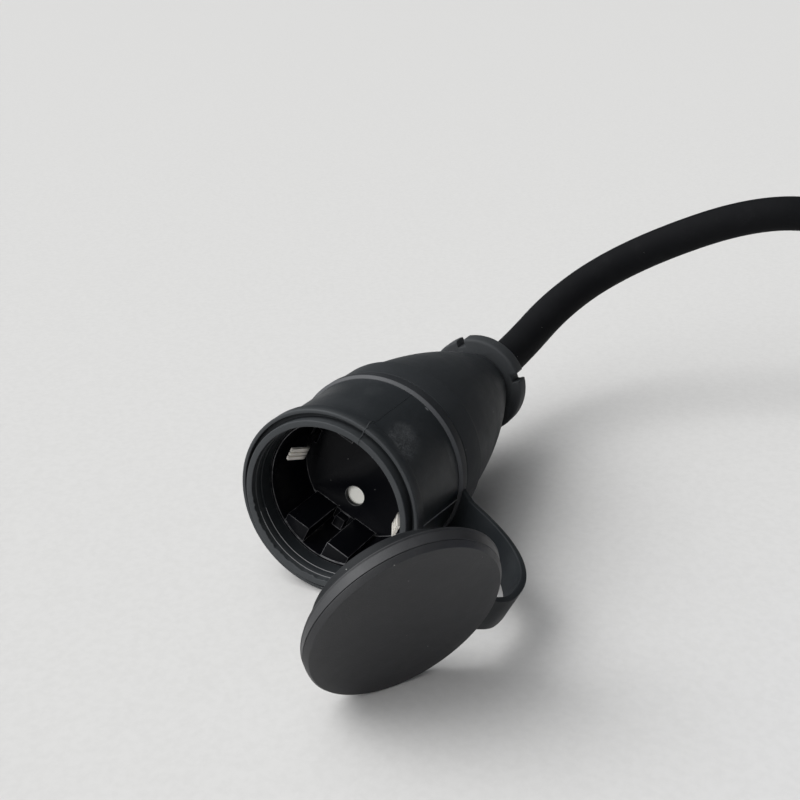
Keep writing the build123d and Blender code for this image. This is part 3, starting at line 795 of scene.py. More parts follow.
def placed(piece: Piece, matrix: Matrix) -> Piece:
    """Set a piece by a matrix and put its place into its mesh.

    Args:
        piece: The piece, at the origin.
        matrix: Where it goes.

    Returns:
        The piece, with its object at the origin.
    """
    pick(piece)
    piece.matrix_world = matrix
    bpy.ops.object.transform_apply(location=True, rotation=True, scale=True)
    return piece


def two_places(piece: Piece) -> None:
    """Give a piece two empty places for materials.

    Args:
        piece: The piece.
    """
    piece.data.materials.clear()
    for _ in range(2):
        piece.data.materials.append(None)


def share_faces(piece: Piece, second: Callable[[bpy.types.MeshPolygon], bool]) -> None:
    """Share a piece's faces out between two places for materials.

    Args:
        piece: The piece.
        second: Says whether a face takes the second place.
    """
    two_places(piece)
    for face in piece.data.polygons:
        face.material_index = int(second(face))


def softened(node: str, edge: float) -> Piece:
    """Copy a solid of the frame and round its sharp edges, which take the second of two material places.

    Args:
        node: Name of the frame's node.
        edge: Width of the rounding.

    Returns:
        The copy, which isn't yet on a body.
    """
    piece = bpy.data.objects.new(f"{node}_moulded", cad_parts[node].data.copy())
    bpy.context.collection.objects.link(piece)
    two_places(piece)
    open_mesh(piece)
    bpy.ops.mesh.customdata_custom_splitnormals_clear()
    bpy.ops.mesh.remove_doubles(threshold=WELD)
    bpy.ops.mesh.dissolve_limited(angle_limit=FLAT_ANGLE)
    bpy.ops.object.mode_set(mode="OBJECT")
    bevel = piece.modifiers.new("soft_edges", "BEVEL")
    bevel.width = edge * MM
    bevel.segments = BEVEL_STEPS
    bevel.limit_method = "ANGLE"
    bevel.angle_limit = SHARP_ANGLE
    bevel.use_clamp_overlap = False
    bevel.material = 1
    bpy.ops.object.modifier_apply(modifier=bevel.name)
    bpy.ops.object.shade_smooth_by_angle(angle=SMOOTH_ANGLE)
    return piece


def bow_spot(pulls: Sequence[Vector], share: float) -> Vector:
    """A spot on the smooth bow that some control points pull.

    Args:
        pulls: Control points; the bow starts at the first and ends at the last.
        share: Share of the way.

    Returns:
        The spot.
    """
    while len(pulls) > 1:
        pulls = [before.lerp(after, share) for before, after in zip(pulls, pulls[1:])]
    return pulls[0]


def swell(angle: float, middle: float, width: float) -> float:
    """A soft swell round an angle, 1 in its middle."""
    return exp(-((angle - middle) / width) ** 2)


class Dresser:
    """Gives pieces their finish and the body that they ride on."""

    def __init__(self) -> None:
        """Start with no material made."""
        self.made: dict[str, bpy.types.Material] = {}

    def material(self, finish: Finish) -> bpy.types.Material:
        """The material of a finish, made once.

        Args:
            finish: The finish.

        Returns:
            Its material.
        """
        if finish.name not in self.made:
            self.made[finish.name] = finish.material()
        return self.made[finish.name]

    def piece(self, piece: Piece, finish: Finish, body: Body, node: str,
              second: Finish | None = None) -> Piece:
        """Dress a new piece that rides on one body.

        Args:
            piece: The new piece.
            finish: Its finish.
            body: The body that carries it.
            node: The frame's node that it stands for.
            second: Finish of the faces in its second material place, if that is another.

        Returns:
            The dressed piece.
        """
        self.coat(piece, finish, second)
        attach(piece, body.value)
        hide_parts(node)
        return piece

    def coat(self, piece: Piece, finish: Finish, second: Finish | None = None) -> None:
        """Give a new piece its material.

        Args:
            piece: The new piece.
            finish: Its finish.
            second: Finish of the faces in its second material place, if that is another.
        """
        if second:
            piece.data.materials[0] = self.material(finish)
            piece.data.materials[1] = self.material(second)
        else:
            piece.data.materials.clear()
            piece.data.materials.append(self.material(finish))
        log.info("%s: %s", piece.name, finish.name)

    def node(self, name: str, finish: Finish) -> Piece:
        """Give a solid of the frame a better material.

        Args:
            name: Name of the node.
            finish: Its finish.

        Returns:
            The node's object.
        """
        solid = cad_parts[name]
        for place in solid.material_slots:
            place.material = self.material(finish)
        log.info("%s: %s", name, finish.name)
        return solid


@dataclass
class Sleeve:
    """Rubber sleeve of the coupling: lip, sealing groove, stepped mouth, barrel and spigot.

    An angle on it is read from +Y towards +Z.
    """

    # Outline
    lip: float = 1.1
    groove: float = 1.4
    groove_depth: float = 2.0
    mouth: float = 22.7
    proud: float = 1.7
    bead_end: float = -4.0
    barrel_start: float = -5.2
    barrel_front: float = 25.7
    barrel_rear: float = 26.0
    spigot: float = 23.2
    spigot_bore: float = 20.9
    spigot_end: float = -50.0
    block_step: float = -29.3
    bore: float = 22.2
    step_rise: float = 0.25
    step_front: float = -0.2
    step_back: float = -2.6

    # Ragged flash along the low part of the inner ring's edge
    flash_from: float = -178.0
    flash_to: float = -80.0
    flash_width: float = 0.35
    flash_depth: float = 0.5
    flash_reach: float = 0.4
    flash_mean: float = 0.3
    flash_notch: float = -0.4
    flash_sink: float = 0.2
    flash_wave: float = 3.1
    flash_ripple: float = 1.1
    ripple_share: float = 0.6
    wave_seed: float = 0.7
    ripple_seed: float = 4.2

    # Lines that stand out from the rubber
    # Painted highlights: pale lines along the low part of the mouth's inner steps
    highlight_from: int = -162
    highlight_to: int = -58
    highlight_pace: int = 2
    highlight_radius: float = 0.1
    hair_angle: float = 63.5
    hair_radius: float = 0.13
    seam_angle: float = 64.5
    seam_radius: float = 0.07
    seam_lift: float = 0.02
    seam_bead: tuple[float, float] = (-0.7, -3.6)
    seam_start: float = -5.5
    seam_steps: int = 14
    seam_wander: float = 0.25
    wander_length: float = 4.0
    wander_seed: float = 2.2
    # Mould line on the low side, pale as a painted highlight
    low_line_back: float = -12.6
    low_line_front: float = -8.2
    low_line_end: float = -6.5
    low_line_radius: float = 0.22
    low_line_steps: int = 12

    @property
    def groove_out(self) -> float:
        """Outer radius of the sealing groove."""
        return RIM - self.lip

    @property
    def groove_in(self) -> float:
        """Inner radius of the sealing groove."""
        return self.groove_out - self.groove

    @property
    def step_out(self) -> float:
        """Radius of the mouth's front inner step."""
        return self.bore + self.step_rise

    def corners(self) -> list[Corner]:
        """The sleeve's outline.

        Returns:
            Its corners, from the mouth's inner ring over the outside and back through the bore.
        """
        return [
            Corner(self.proud, self.mouth, 0.25),
            Corner(self.proud, self.groove_in, 0.3),
            Corner(-self.groove_depth, self.groove_in, 0.2),
            Corner(-self.groove_depth, self.groove_out, 0.2),
            Corner(0, self.groove_out, 0.2),
            Corner(0, RIM, 0.5),
            Corner(self.bead_end, RIM, 0.7),
            Corner(self.barrel_start, self.barrel_front, 0.8),
            Corner(RING_FRONT, self.barrel_rear, 0.15),
            Corner(RING_FRONT, RING_SEAT),
            Corner(RING_BACK, RING_SEAT),
            Corner(RING_BACK, self.spigot),
            Corner(self.spigot_end, self.spigot, 0.3),
            Corner(self.spigot_end, self.spigot_bore, 0.3),
            Corner(self.block_step, self.spigot_bore),
            Corner(self.block_step, self.bore),
            Corner(self.step_back, self.bore, 0.12),
            Corner(self.step_back, self.step_out, 0.1),
            Corner(self.step_front, self.step_out, 0.12),
            Corner(self.step_front, self.mouth, 0.1),
        ]

    def dress(self, dresser: Dresser) -> None:
        """Build and dress the sleeve with its ragged flash, its mould lines, and painted highlights along its
        inner steps and its low mould line.

        Args:
            dresser: Gives the pieces their finish.
        """
        sleeve = lathe("front_sleeve_moulded", self.corners(), FINE_TURN_STEPS)
        self._fray(sleeve)
        joined(sleeve, self._hair(), self._parting_line())
        dresser.coat(sleeve, BARREL_RUBBER)
        # Painted highlights: pale lines along the inner steps and along the low mould line
        steps = joined(self._highlight_step(self.step_front, self.step_out),
                       self._highlight_step(self.step_back, self.bore), self._low_line())
        dresser.coat(steps, PAINTED_HIGHLIGHT_RUBBER)
        joined(sleeve, steps)
        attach(sleeve, Body.COUPLING.value)
        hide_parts("front_sleeve")

    def _rag(self, angle: float) -> float:
        """How ragged the flash is at an angle, by a broad wave and a finer ripple.

        Args:
            angle: The angle.

        Returns:
            The raggedness, about 0 on average.
        """
        wave = noise.noise(Vector((angle / self.flash_wave, self.wave_seed, 0)))
        ripple = noise.noise(Vector((angle / self.flash_ripple, self.ripple_seed, 0)))
        return wave + self.ripple_share * ripple

    def _fray(self, sleeve: Piece) -> None:
        """Fray the low part of the inner ring's edge into ragged flash.

        Args:
            sleeve: The turned sleeve.
        """
        middle = (self.flash_from + self.flash_to) / 2
        half = (self.flash_to - self.flash_from) / 2
        for vertex in sleeve.data.vertices:
            x, y, z = vertex.co / MM
            radius, angle = hypot(y, z), degrees(atan2(z, y))
            at_edge = abs(radius - self.mouth) < self.flash_width and x > self.proud - self.flash_depth
            fade = 1 - ((angle - middle) / half) ** 2
            if not at_edge or fade <= 0:
                continue
            rag = self._rag(angle)
            inward = self.flash_reach * min(1, 2 * fade) * max(self.flash_notch, self.flash_mean + rag)
            drawn = 1 - inward / radius
            vertex.co = Vector((x - self.flash_sink * max(0, rag), y * drawn, z * drawn)) * MM

    @staticmethod
    def _spot(radius: float, angle: float, x: float) -> Vector:
        """A spot on the sleeve, in metres, by its radius, its angle and its place along the axis."""
        return Vector((x, radius * cos(radians(angle)), radius * sin(radians(angle)))) * MM

    def _highlight_step(self, x: float, radius: float) -> Piece:
        """A thin pale line, a painted highlight, along the low part of one of the mouth's inner steps.

        Args:
            x: Place of the step along the axis.
            radius: Its radius.

        Returns:
            The line.
        """
        angles = range(self.highlight_from, self.highlight_to, self.highlight_pace)
        return thread("highlight_step", [self._spot(radius, angle, x) for angle in angles], self.highlight_radius)

    def _hair(self) -> Piece:
        """Thin hair of flash across the mouth's ring and groove, curling up over the lip.

        Returns:
            The hair.
        """
        # Radius, angle from the hair's own and place along the axis
        places = [
            (self.mouth + 0.1, -1.4, self.proud - 0.1),
            (self.mouth + 0.9, -1.0, self.proud + 0.04),
            (self.groove_in, -0.5, self.proud + 0.04),
            (self.groove_in + 0.12, -0.3, 0.9),
            (self.groove_in + 0.3, -0.1, 0.15),
            (self.groove_in + 0.9, 0.1, 0.02),
            (RIM - 0.5, 0.2, 0.08),
            (RIM + 0.2, 0.1, -0.5),
            (RIM + 0.8, 0.3, -1.1),
            (RIM + 1.3, 0.5, -1.8),
            (RIM + 1.5, 0.2, -2.5),
            (RIM + 1.3, -0.9, -3.2),
        ]
        spots = [self._spot(radius, self.hair_angle + angle, x) for radius, angle, x in places]
        return thread("flash_hair", spots, self.hair_radius)

    def _parting_line(self) -> Piece:
        """Raised parting line along the mouth's bead and the barrel, up to the ring.

        Returns:
            The line.
        """
        spots = [self._spot(RIM + self.seam_lift, self.seam_angle, x) for x in self.seam_bead]
        for step in range(self.seam_steps + 1):
            share = step / self.seam_steps
            x = self.seam_start + (RING_FRONT - self.seam_start) * share
            radius = self.barrel_front + (self.barrel_rear - self.barrel_front) * share
            wander = self.seam_wander * noise.noise(Vector((x / self.wander_length, self.wander_seed, 0)))
            spots.append(self._spot(radius + self.seam_lift / 2, self.seam_angle + wander, x))
        return thread("parting_line", spots, self.seam_radius)

    def _low_line(self) -> Piece:
        """Mould line along the low side of the barrel, from the ring to the mouth's bead; its pale colour is
        a painted highlight.

        Returns:
            The line.
        """
        back = self._spot(self.barrel_rear, self.low_line_back, RING_FRONT)
        front = self._spot(self.barrel_front, self.low_line_front, self.low_line_end)
        shares = [step / self.low_line_steps for step in range(self.low_line_steps + 1)]
        return thread("low_line", [back.lerp(front, share) for share in shares], self.low_line_radius)


@dataclass
class Hood:
    """Rubber hood behind the ring, with its gland nut."""

    collar: float = 26.4
    collar_bevel: float = 0.6
    collar_lead: float = 0.4
    cone_front: float = -44.0
    cone_step: float = 0.25
    cone_radius: float = 25.4
    cone_bulge: float = 2.1
    dome_steps: int = 18
    end: float = -99.5
    end_radius: float = 11.8
    thread_radius: float = 9.8
    thread_end: float = -103.5
    bore: float = 8.6
    gland_front: float = -92.0
    gland_taper: float = 3.2
    inner_radius: float = 22.05
    spigot: float = 23.3
    spigot_end: float = -50.1
    nut_edge: float = 0.35

    def build(self) -> Piece:
        """The hood, with its taper domed.

        Returns:
            The hood.
        """
        dome = []
        for step in range(1, self.dome_steps):
            share = step / self.dome_steps
            straight = self.cone_radius + (self.end_radius - self.cone_radius) * share
            dome.append(Corner(self.cone_front + (self.end - self.cone_front) * share,
                               straight + self.cone_bulge * 4 * share * (1 - share)))
        return lathe("rear_hood_moulded", [
            Corner(RING_BACK, self.spigot),
            Corner(RING_BACK, self.collar - self.collar_bevel),
            Corner(RING_BACK - self.collar_lead, self.collar, 0.15),
            Corner(self.cone_front, self.collar, 0.6),
            Corner(self.cone_front - self.cone_step, self.cone_radius, 0.3),
            *dome,
            Corner(self.end, self.end_radius, 0.5),
            Corner(self.end, self.thread_radius),
            Corner(self.thread_end, self.thread_radius, 0.3),
            Corner(self.thread_end, self.bore, 0.2),
            Corner(self.gland_front, self.bore),
            Corner(self.gland_front + self.gland_taper, self.end_radius),
            Corner(self.spigot_end, self.inner_radius),
            Corner(self.spigot_end, self.spigot),
        ])

    def dress(self, dresser: Dresser) -> None:
        """Build and dress the hood, and the lobed gland nut with rubbed edges.

        Args:
            dresser: Gives the pieces their finish.
        """
        dresser.piece(self.build(), HOOD_RUBBER, Body.COUPLING, "rear_hood")
        dresser.piece(softened("gland_nut", self.nut_edge), NUT_RUBBER, Body.COUPLING, "gland_nut")


@dataclass
class LidRing:
    """Rubber ring round the barrel, which the strap grows out of."""

    radius: float = 26.9
    ridge: float = 0.75
    ridge_reach: float = 0.9
    ridge_facing: float = 0.25
    back_land: float = 1.5
    back_step: float = 0.3
    back_bevel: float = 0.45
    back_drop: float = 1.1

    def build(self) -> Piece:
        """The ring, with a painted highlight on its front ridge.

        Returns:
            The ring, its ridge in the second place for a material.
        """
        ring = lathe("lid_ring_moulded", [
            Corner(RING_FRONT, RING_SEAT),
            Corner(RING_FRONT, self.radius - self.ridge, 0.2),
            Corner(RING_FRONT - self.ridge, self.radius, 0.35),
            Corner(RING_BACK + self.back_land, self.radius, 0.2),
            Corner(RING_BACK + self.back_land - self.back_step, self.radius - self.back_step, 0.15),
            Corner(RING_BACK + self.back_bevel, self.radius - self.back_step, 0.12),
            Corner(RING_BACK, self.radius - self.back_drop),
            Corner(RING_BACK, RING_SEAT),
        ])
        # Painted highlight: the faces of the front ridge take a paler rubber
        ridge_end = (RING_FRONT - self.ridge_reach) * MM
        share_faces(ring, lambda face: face.center.x > ridge_end and face.normal.x > self.ridge_facing)
        return ring

    def dress(self, dresser: Dresser) -> None:
        """Build and dress the ring."""
        dresser.piece(self.build(), RING_RUBBER, Body.COUPLING, "lid_ring", second=RIDGE_HIGHLIGHT_RUBBER)


@dataclass
class Lid:
    """Soft rubber lid that hangs open with its edge on the table."""

    # Place
    reach: float = 37.35
    aside: float = 42.35
    turn: float = 56.2
    lean: float = -21.9
    tab_angle: float = -23.1

    # Outline
    face: float = 25.6
    back: float = 26.4
    depth: float = 3.7
    plate: float = 2.0
    dish: float = 0.12
    dish_edge: float = 6.0
    flat_edge: float = 3.0
    edge: float = 1.0
    line: float = 0.2
    first_band: float = 1.3
    first_swell: float = 0.1
    second_band: float = 1.9
    second_inset: float = 0.2
    bead_foot: float = 0.3
    bead_crest: float = 0.1
    bead_rise: float = 0.25
    skirt: float = 1.1
    skirt_inset: float = 0.3
    skirt_taper: float = 0.35
    collar: float = 20.0
    collar_wall: float = 1.4
    collar_reach: float = 9.4

    # Bend where it stands on the table
    bend_lift: float = 1.1
    bend_shift: float = -0.5
    bend_depth: float = 3.2
    bend_run: float = 1.7
    squeeze: float = 1.2
    squeeze_angle: float = 190.0
    squeeze_width: float = 42.0
    dent: float = 0.9
    dent_angle: float = 205.0
    dent_width: float = 20.0
    give_from: float = 25.0
    give_run: float = 0.9
    least_give: float = 0.12
    collar_margin: float = 2.0

    place: Matrix = field(init=False)

    def __post_init__(self) -> None:
        """Work out the open lid's own frame: x towards its tab, z out of its face, its rim on the table."""
        turn, lean = radians(self.turn), radians(self.lean)
        normal = Vector((cos(turn) * cos(lean), sin(turn) * cos(lean), sin(lean)))
        rims = (
            (self.face - self.edge) * cos(lean) + self.edge * (1 + sin(lean)),
            self.side * cos(lean) + (self.first_band + self.line) * sin(lean),
            self.back * cos(lean) + (self.bands + self.line) * sin(lean),
        )
        height = TABLE + max(rims)
        level = Vector((-sin(turn), cos(turn), 0))
        rise = normal.cross(level)
        angle = radians(self.tab_angle)
        tab = level * cos(angle) + rise * sin(angle)
        columns = Matrix((tab, normal.cross(tab), normal)).transposed().to_4x4()
        self.place = Matrix.Translation(Vector((self.reach, self.aside, height)) * MM) @ columns

    @property
    def side(self) -> float:
        """Radius of the lid's middle band."""
        return (self.face + self.back) / 2

    @property
    def bands(self) -> float:
        """Depth of the two bands round the lid's side."""
        return self.first_band + self.second_band

    def build(self) -> Piece:
        """The lid: flat face, soft edge, two moulded lines round its side, skirt and plug collar.

        Returns:
            The lid, in place, with its skirt and collar in the second place for a material.
        """
        side, line = self.side, self.line
        first, second = self.first_band, self.bands
        lid = lathe("lid_moulded", [
            Corner(-self.dish, 0),
            Corner(-self.dish, self.face - self.dish_edge, 3.0),
            Corner(0, self.face - self.flat_edge, 2.0),
            Corner(0, self.face - self.edge, 0.25),
            Corner(-first, self.face + self.first_swell, 0.3),
            Corner(-first - line / 2, self.face - line, 0.08),
            Corner(-first - line, side - self.second_inset, 0.12),
            Corner(-second + self.bead_foot, self.back - self.bead_rise, 0.2),
            Corner(-second + self.bead_crest, self.back, 0.12),
            Corner(-second, self.back, 0.08),
            Corner(-second - line / 2, side - line, 0.08),
            Corner(-second - line, self.back - self.skirt_inset, 0.12),
            Corner(-self.depth, self.back - self.skirt_taper, 0.2),
            Corner(-self.depth, self.back - self.skirt, 0.3),
            Corner(-self.plate, side - line - self.skirt, 0.5),
            Corner(-self.plate, self.collar, 0.4),
            Corner(-self.collar_reach, self.collar, 0.5),
            Corner(-self.collar_reach, self.collar - self.collar_wall, 0.5),
            Corner(-self.plate, self.collar - self.collar_wall, 0.5),
            Corner(-self.plate, 0),
        ], FINE_TURN_STEPS)
        # Painted shade: the faces behind the second line, the skirt and the collar take a darker copy of the
        # lid's rubber
        share_faces(lid, lambda face: face.center.x < -(second + line / 2) * MM)
        upright = Matrix.Rotation(-pi / 2, 4, "Y")
        return self._bend(placed(lid, self.place @ upright))

    def _bend(self, lid: Piece) -> Piece:
        """Give the soft lid the bend and the dent that it has where it stands on the table.

        Args:
            lid: The round lid, in place.

        Returns:
            The bent lid.
        """
        into = self.place.inverted()
        level = radians(-self.tab_angle)
        sideways = Vector((cos(level), sin(level), 0)) * self.bend_shift
        for vertex in lid.data.vertices:
            spot = into @ vertex.co / MM
            radius = hypot(spot.x, spot.y)
            angle = (degrees(atan2(spot.y, spot.x)) + self.tab_angle) % 360
            front = min(1, max(0, (spot.z + self.bend_depth) / self.bend_run))
            if radius > self.collar + self.collar_margin:
                inward = front * self.dent * swell(angle, self.dent_angle, self.dent_width)
                inward += (1 - front) * self.squeeze * swell(angle, self.squeeze_angle, self.squeeze_width)
                give = min(1, max(self.least_give, (radius - self.give_from) / self.give_run))
                spot.xy *= 1 - inward * give / radius
            spot += sideways * front
            spot.z += self.bend_lift * front
            vertex.co = self.place @ (spot * MM)
            vertex.co.z = max(vertex.co.z, TABLE * MM)
        return lid

    def dress(self, dresser: Dresser) -> None:
        """Build and dress the lid."""
        dresser.piece(self.build(), LID_RUBBER, Body.LID, "lid", second=COLLAR_SHADE_RUBBER)


@dataclass
class Strap:
    """Rubber strap that loops from the ring to the lid's tab."""

    ring: LidRing
    lid: Lid
    width: float = 10.0
    thickness: float = 1.8
    edge: float = 0.35
    ring_angle: float = -17.4
    root: float = 6.0
    root_sink: float = 0.8
    root_lean: float = 47.1
    root_pull: float = 3.0
    root_flare: float = 7.0
    root_length: float = 18.0
    root_steps: int = 4
    bow: tuple[Spot, Spot] = ((-5.3, 69.9, -15.6), (4.9, 47.5, -13.8))
    bow_steps: int = 64
    tab: float = 3.5
    tab_sink: float = 1.0
    tab_pull: float = 9.3
    tab_flare: float = 2.0
    tab_length: float = 4.0
    tab_steps: int = 8

    def middle_line(self) -> tuple[list[Vector], Vector, Vector]:
        """Middle line of the strap from inside the ring to inside the lid's side.

        Returns:
            The line's spots in millimetres, and the way of the strap's width at the ring and at the lid.
        """
        angle, lean = radians(self.ring_angle), radians(self.root_lean)
        radial = Vector((0, cos(angle), sin(angle)))
        across = Vector((0, -sin(angle), cos(angle)))
        out = Vector((cos(lean), 0, 0)) + radial * sin(lean)
        seat = Vector(((RING_FRONT + RING_BACK) / 2, 0, 0)) + radial * (self.ring.radius - self.root_sink)
        start = seat + out * self.root
        lid = self.lid
        level = -lid.first_band - lid.second_band / 2
        turned = lid.place.to_3x3()
        away, tab_across = turned @ Vector((1, 0, 0)), turned @ Vector((0, 1, 0))
        inside = lid.place @ (Vector((lid.face - self.tab_sink, 0, level)) * MM) / MM
        tab = lid.place @ (Vector((lid.back + self.tab, 0, level)) * MM) / MM
        pulls = [start, start + out * self.root_pull, *map(Vector, self.bow), tab + away * self.tab_pull, tab]
        line = [seat.lerp(start, step / self.root_steps) for step in range(self.root_steps)]
        line += [bow_spot(pulls, step / self.bow_steps) for step in range(self.bow_steps)]
        line += [tab.lerp(inside, step / self.tab_steps) for step in range(self.tab_steps + 1)]
        return line, across, tab_across

    def _section(self, middle: Vector, forward: Vector, across: Vector, width: float) -> list[Vector]:
        """One section of the strap, with rounded edges.

        Args:
            middle: Its middle.
            forward: Way of the strap there.
            across: Way of its width.
            width: Its width.

        Returns:
            The section's spots, in metres.
        """
        wide = (across - forward * across.dot(forward)).normalized()
        thick = forward.cross(wide)
        half_width, half_thickness = width / 2 - self.edge, self.thickness / 2 - self.edge
        spots = []
        for quarter, (right, up) in enumerate(((1, 1), (-1, 1), (-1, -1), (1, -1))):
            corner = Vector((right * half_width, up * half_thickness))
            for step in range(ROUND_STEPS + 1):
                angle = (quarter + step / ROUND_STEPS) * pi / 2
                spots.append(corner + Vector((cos(angle), sin(angle))) * self.edge)
        return [(middle + wide * spot.x + thick * spot.y) * MM for spot in spots]

    def build(self) -> Piece:
        """The strap, lofted along its loop, widened downwards at its root and flared where it meets the lid.

        Returns:
            The strap.
        """
        line, across, tab_across = self.middle_line()
        gaps = [(after - before).length for before, after in zip(line, line[1:])]
        total, done = sum(gaps), 0.0
        rings = []
        for index, middle in enumerate(line):
            forward = (line[min(index + 1, len(line) - 1)] - line[max(index - 1, 0)]).normalized()
            root = self.root_flare * max(0, 1 - done / self.root_length) ** 2
            flare = self.tab_flare * max(0, 1 - (total - done) / self.tab_length) ** 2
            side = across.lerp(tab_across, done / total)
            lowered = middle - side.normalized() * root / 2
            rings.append(self._section(lowered, forward, side, self.width + flare + root))
            done += gaps[index] if index < len(gaps) else 0
        return loft("lid_strap_moulded", rings)

    def dress(self, dresser: Dresser) -> None:
        """Build and dress the strap, which loops between the coupling and the lid.

        Args:
            dresser: Gives the pieces their finish.
        """
        strap = self.build()
        dresser.coat(strap, STRAP_RUBBER)
        line, _, _ = self.middle_line()
        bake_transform(strap)
        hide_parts("lid_strap")


@dataclass
class Insert:
    """Socket insert in the sleeve with its shutter, contacts, terminals and cores."""

    carrier_edge: float = 0.16
    chord_depth: float = -23.2
    chord: tuple[tuple[float, float], ...] = (
        (-17.62, -9.3),
        (-10.81, -12.85),
        (-5.54, -15.56),
        (-1.94, -17.49),
        (1.32, -19.34),
        (2.78, -19.97),
    )
    chord_radius: float = 0.1
    finishes: tuple[tuple[str, Finish], ...] = (
        ("earth_bracket", NICKEL),
        ("shutter", SHUTTER_PLASTIC),
        ("shutter_spring", SPRING),
        ("terminal_block", INSERT_PLASTIC),
        ("contact_line", BRASS),
        ("contact_neutral", BRASS),
        ("terminal_screws", STEEL),
        ("core_line", BROWN_CORE),
        ("core_neutral", BLUE_CORE),
        ("core_earth", EARTH_CORE),
        ("gland_seal", SEAL_RUBBER),
    )

    def dress(self, dresser: Dresser) -> None:
        """Round and dress the carrier with painted highlights on its rounded edges and along the chord on its
        floor, and dress the solids round it.

        Args:
            dresser: Gives the pieces their finish.
        """
        # Painted highlights: the rounded edges and the chord line take the pale edge plastic
        carrier = softened("contact_carrier", self.carrier_edge)
        dresser.piece(carrier, INSERT_PLASTIC, Body.COUPLING, "contact_carrier", second=EDGE_HIGHLIGHT_PLASTIC)
        spots = [Vector((self.chord_depth, y, z)) * MM for y, z in self.chord]
        line = thread("chord_line", spots, self.chord_radius)
        dresser.coat(line, EDGE_HIGHLIGHT_PLASTIC)
        joined(carrier, line)
        for node, finish in self.finishes:
            dresser.node(node, finish)


@dataclass
class Lead:
    """Heavy rubber cable and the plug at its far end."""

    radius: float = 6.4
    length: float = 460.0
    exit: Spot = (-105.9, 0.0, 0.0)
    route: tuple[Spot, ...] = (
        (-96.0, 0.0, 0.0),
        (-130.0, 0.0, 0.0),
        (-166.0, 8.0, 15.5),
        (-190.0, 30.0, 30.0),
        (-210.0, 68.0, 45.0),
        (-223.0, 98.0, 43.0),
        (-230.0, 127.0, 28.0),
        (-223.0, 164.0, -6.0),
        (-205.0, 190.0, -20.6),
        (-182.0, 215.0, -20.6),
        (-153.0, 229.0, -15.0),
        (-122.0, 231.0, -4.0),
        (-94.0, 222.0, 4.0),
        (-64.0, 222.0, 4.0),
    )
    order: int = 3
    housing_edge: float = 0.4
    housing_finishes: tuple[tuple[str, Finish], ...] = (
        ("plug_rear_housing", PLUG_PLASTIC),
        ("plug_shroud", PLUG_PLASTIC),
        ("plug_gland_nut", PLUG_PLASTIC),
        ("plug_pin_carrier", CARRIER_PLASTIC),
    )
    solid_finishes: tuple[tuple[str, Finish], ...] = (
        ("plug_pin_line", PIN_NICKEL),
        ("plug_pin_neutral", PIN_NICKEL),
        ("plug_pin_earth", PIN_NICKEL),
        ("plug_gland_seal", SEAL_RUBBER),
    )

    def build_cable(self) -> Piece:
        """The cable as one smooth spline.

        Returns:
            The cable.
        """
        spots = [Vector(spot) * MM for spot in self.route]
        cable = tube("cable_sheath", spots, self.radius, Line.SMOOTH, CABLE_ROUNDNESS)
        spline = cable.data.splines[0]
        spline.order_u = self.order
        spline.use_endpoint_u = True
        return cable

    def dress(self, dresser: Dresser) -> None:
        """Build and dress the cable and the plug.

        Args:
            dresser: Gives the pieces their finish.
        """
        cable = dresser.piece(self.build_cable(), CABLE_RUBBER, Body.COUPLING, "cable")
        plug = [
            dresser.piece(softened(node, self.housing_edge), finish, Body.COUPLING, node)
            for node, finish in self.housing_finishes
        ]
        plug += [dresser.node(node, finish) for node, finish in self.solid_finishes]


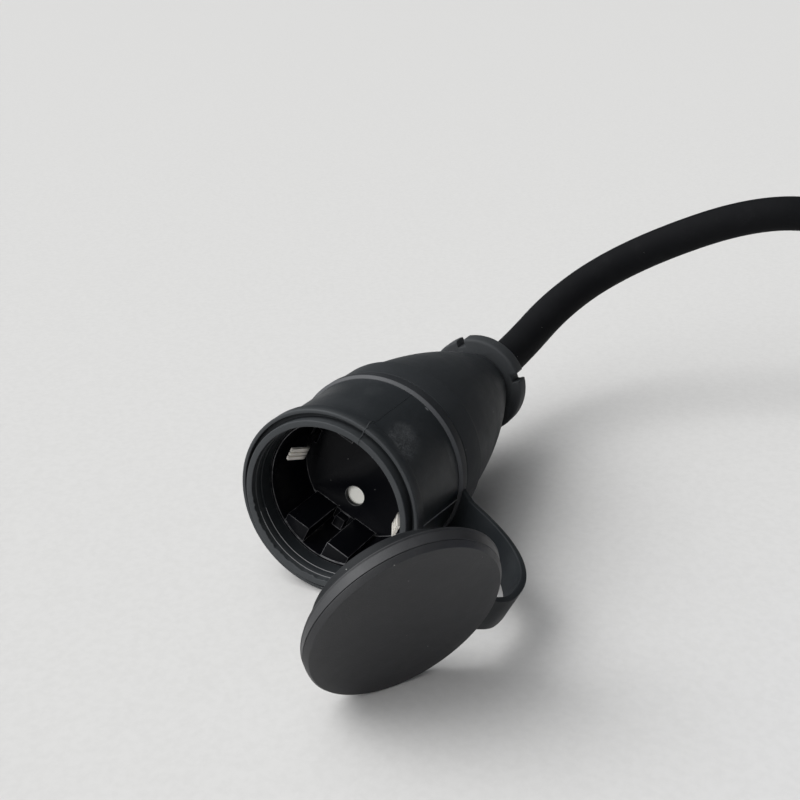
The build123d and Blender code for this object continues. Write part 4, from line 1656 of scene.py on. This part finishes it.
@dataclass
class Studio:
    """Plain pale floor, soft light and the camera at the photograph's angle."""

    floor_side: float = 80000.0
    eye: Spot = (250.64, 147.02, 143.26)
    look: Spot = (-0.8335, -0.4159, -0.3638)
    nearest: float = 10.0
    image_width: float = 800.0
    focal_pixels: float = 1202.0
    sensor: float = 36.0
    sky: Colour = (0.96, 0.98, 1.0)
    sky_low: float = 0.08
    sky_high: float = 1.5
    bright_side: Spot = (0.35, -0.62, 0.70)
    bright_from: float = 0.3
    bright_to: float = 0.97
    window_side: Spot = (0.32, -0.55, 0.77)
    window_power: float = 1.7
    window_width: float = 45.0
    fill_side: Spot = (0.89, -0.12, 0.42)
    fill_power: float = 1.3
    fill_width: float = 50.0

    def build(self) -> None:
        """Set the floor, the camera, the sky and the lamps."""
        self._floor()
        self._camera()
        self._sky()
        self._lamp("window", self.window_side, self.window_power, self.window_width)
        self._lamp("fill", self.fill_side, self.fill_power, self.fill_width)
        bpy.context.scene.view_settings.view_transform = "Standard"

    def _floor(self) -> None:
        """The floor under the rim."""
        bpy.ops.object.select_all(action="DESELECT")
        bpy.ops.mesh.primitive_plane_add(size=self.floor_side * MM)
        floor = bpy.context.object
        floor.name = "floor"
        placed(floor, Matrix.Translation((0, 0, TABLE * MM)))
        floor.data.materials.append(PaleFloor().material())

    def _camera(self) -> None:
        """The camera that took the photograph."""
        lens = bpy.data.cameras.new("camera")
        lens.sensor_width = self.sensor
        lens.lens = self.sensor * self.focal_pixels / self.image_width
        lens.clip_start = self.nearest * MM
        camera = bpy.data.objects.new("camera", lens)
        camera.location = Vector(self.eye) * MM
        camera.rotation_mode = "QUATERNION"
        camera.rotation_quaternion = Vector(self.look).to_track_quat("-Z", "Y")
        bpy.context.collection.objects.link(camera)
        bpy.context.scene.camera = camera

    def _sky(self) -> None:
        """A sky that is bright above and to one side."""
        world = bpy.data.worlds.new("sky")
        bpy.context.scene.world = world
        world.use_nodes = True
        tree = world.node_tree
        glow = tree.nodes["Background"]
        glow.inputs["Color"].default_value = (*self.sky, 1)
        way = tree.nodes.new("ShaderNodeTexCoord")
        facing = tree.nodes.new("ShaderNodeVectorMath")
        facing.operation = "DOT_PRODUCT"
        facing.inputs[1].default_value = Vector(self.bright_side).normalized()
        tree.links.new(way.outputs["Generated"], facing.inputs[0])
        level = tree.nodes.new("ShaderNodeMapRange")
        level.interpolation_type = "SMOOTHSTEP"
        numbers = (self.bright_from, self.bright_to, self.sky_low, self.sky_high)
        for socket, number in zip(level.inputs[1:5], numbers):
            socket.default_value = number
        tree.links.new(facing.outputs["Value"], level.inputs[0])
        tree.links.new(level.outputs["Result"], glow.inputs["Strength"])

    def _lamp(self, name: str, side: Spot, power: float, width: float) -> None:
        """A wide soft lamp far off.

        Args:
            name: Its name.
            side: Where it is, seen from the object.
            power: Light that falls on a face turned to it.
            width: Its width.
        """
        light = bpy.data.lights.new(name, "SUN")
        light.energy = power
        light.angle = radians(width)
        lamp = bpy.data.objects.new(name, light)
        lamp.rotation_mode = "QUATERNION"
        lamp.rotation_quaternion = (-Vector(side)).to_track_quat("-Z", "Y")
        bpy.context.collection.objects.link(lamp)


def main() -> None:
    """Build the studio, then build and dress each sub-assembly in order."""
    logging.basicConfig(level=logging.INFO, format="%(message)s")
    Studio().build()
    dresser = Dresser()
    ring, lid = LidRing(), Lid()
    for assembly in (Lead(), Sleeve(), Hood(), ring, lid, Strap(ring, lid), Insert()):
        assembly.dress(dresser)


if __name__ == "__main__":
    main()
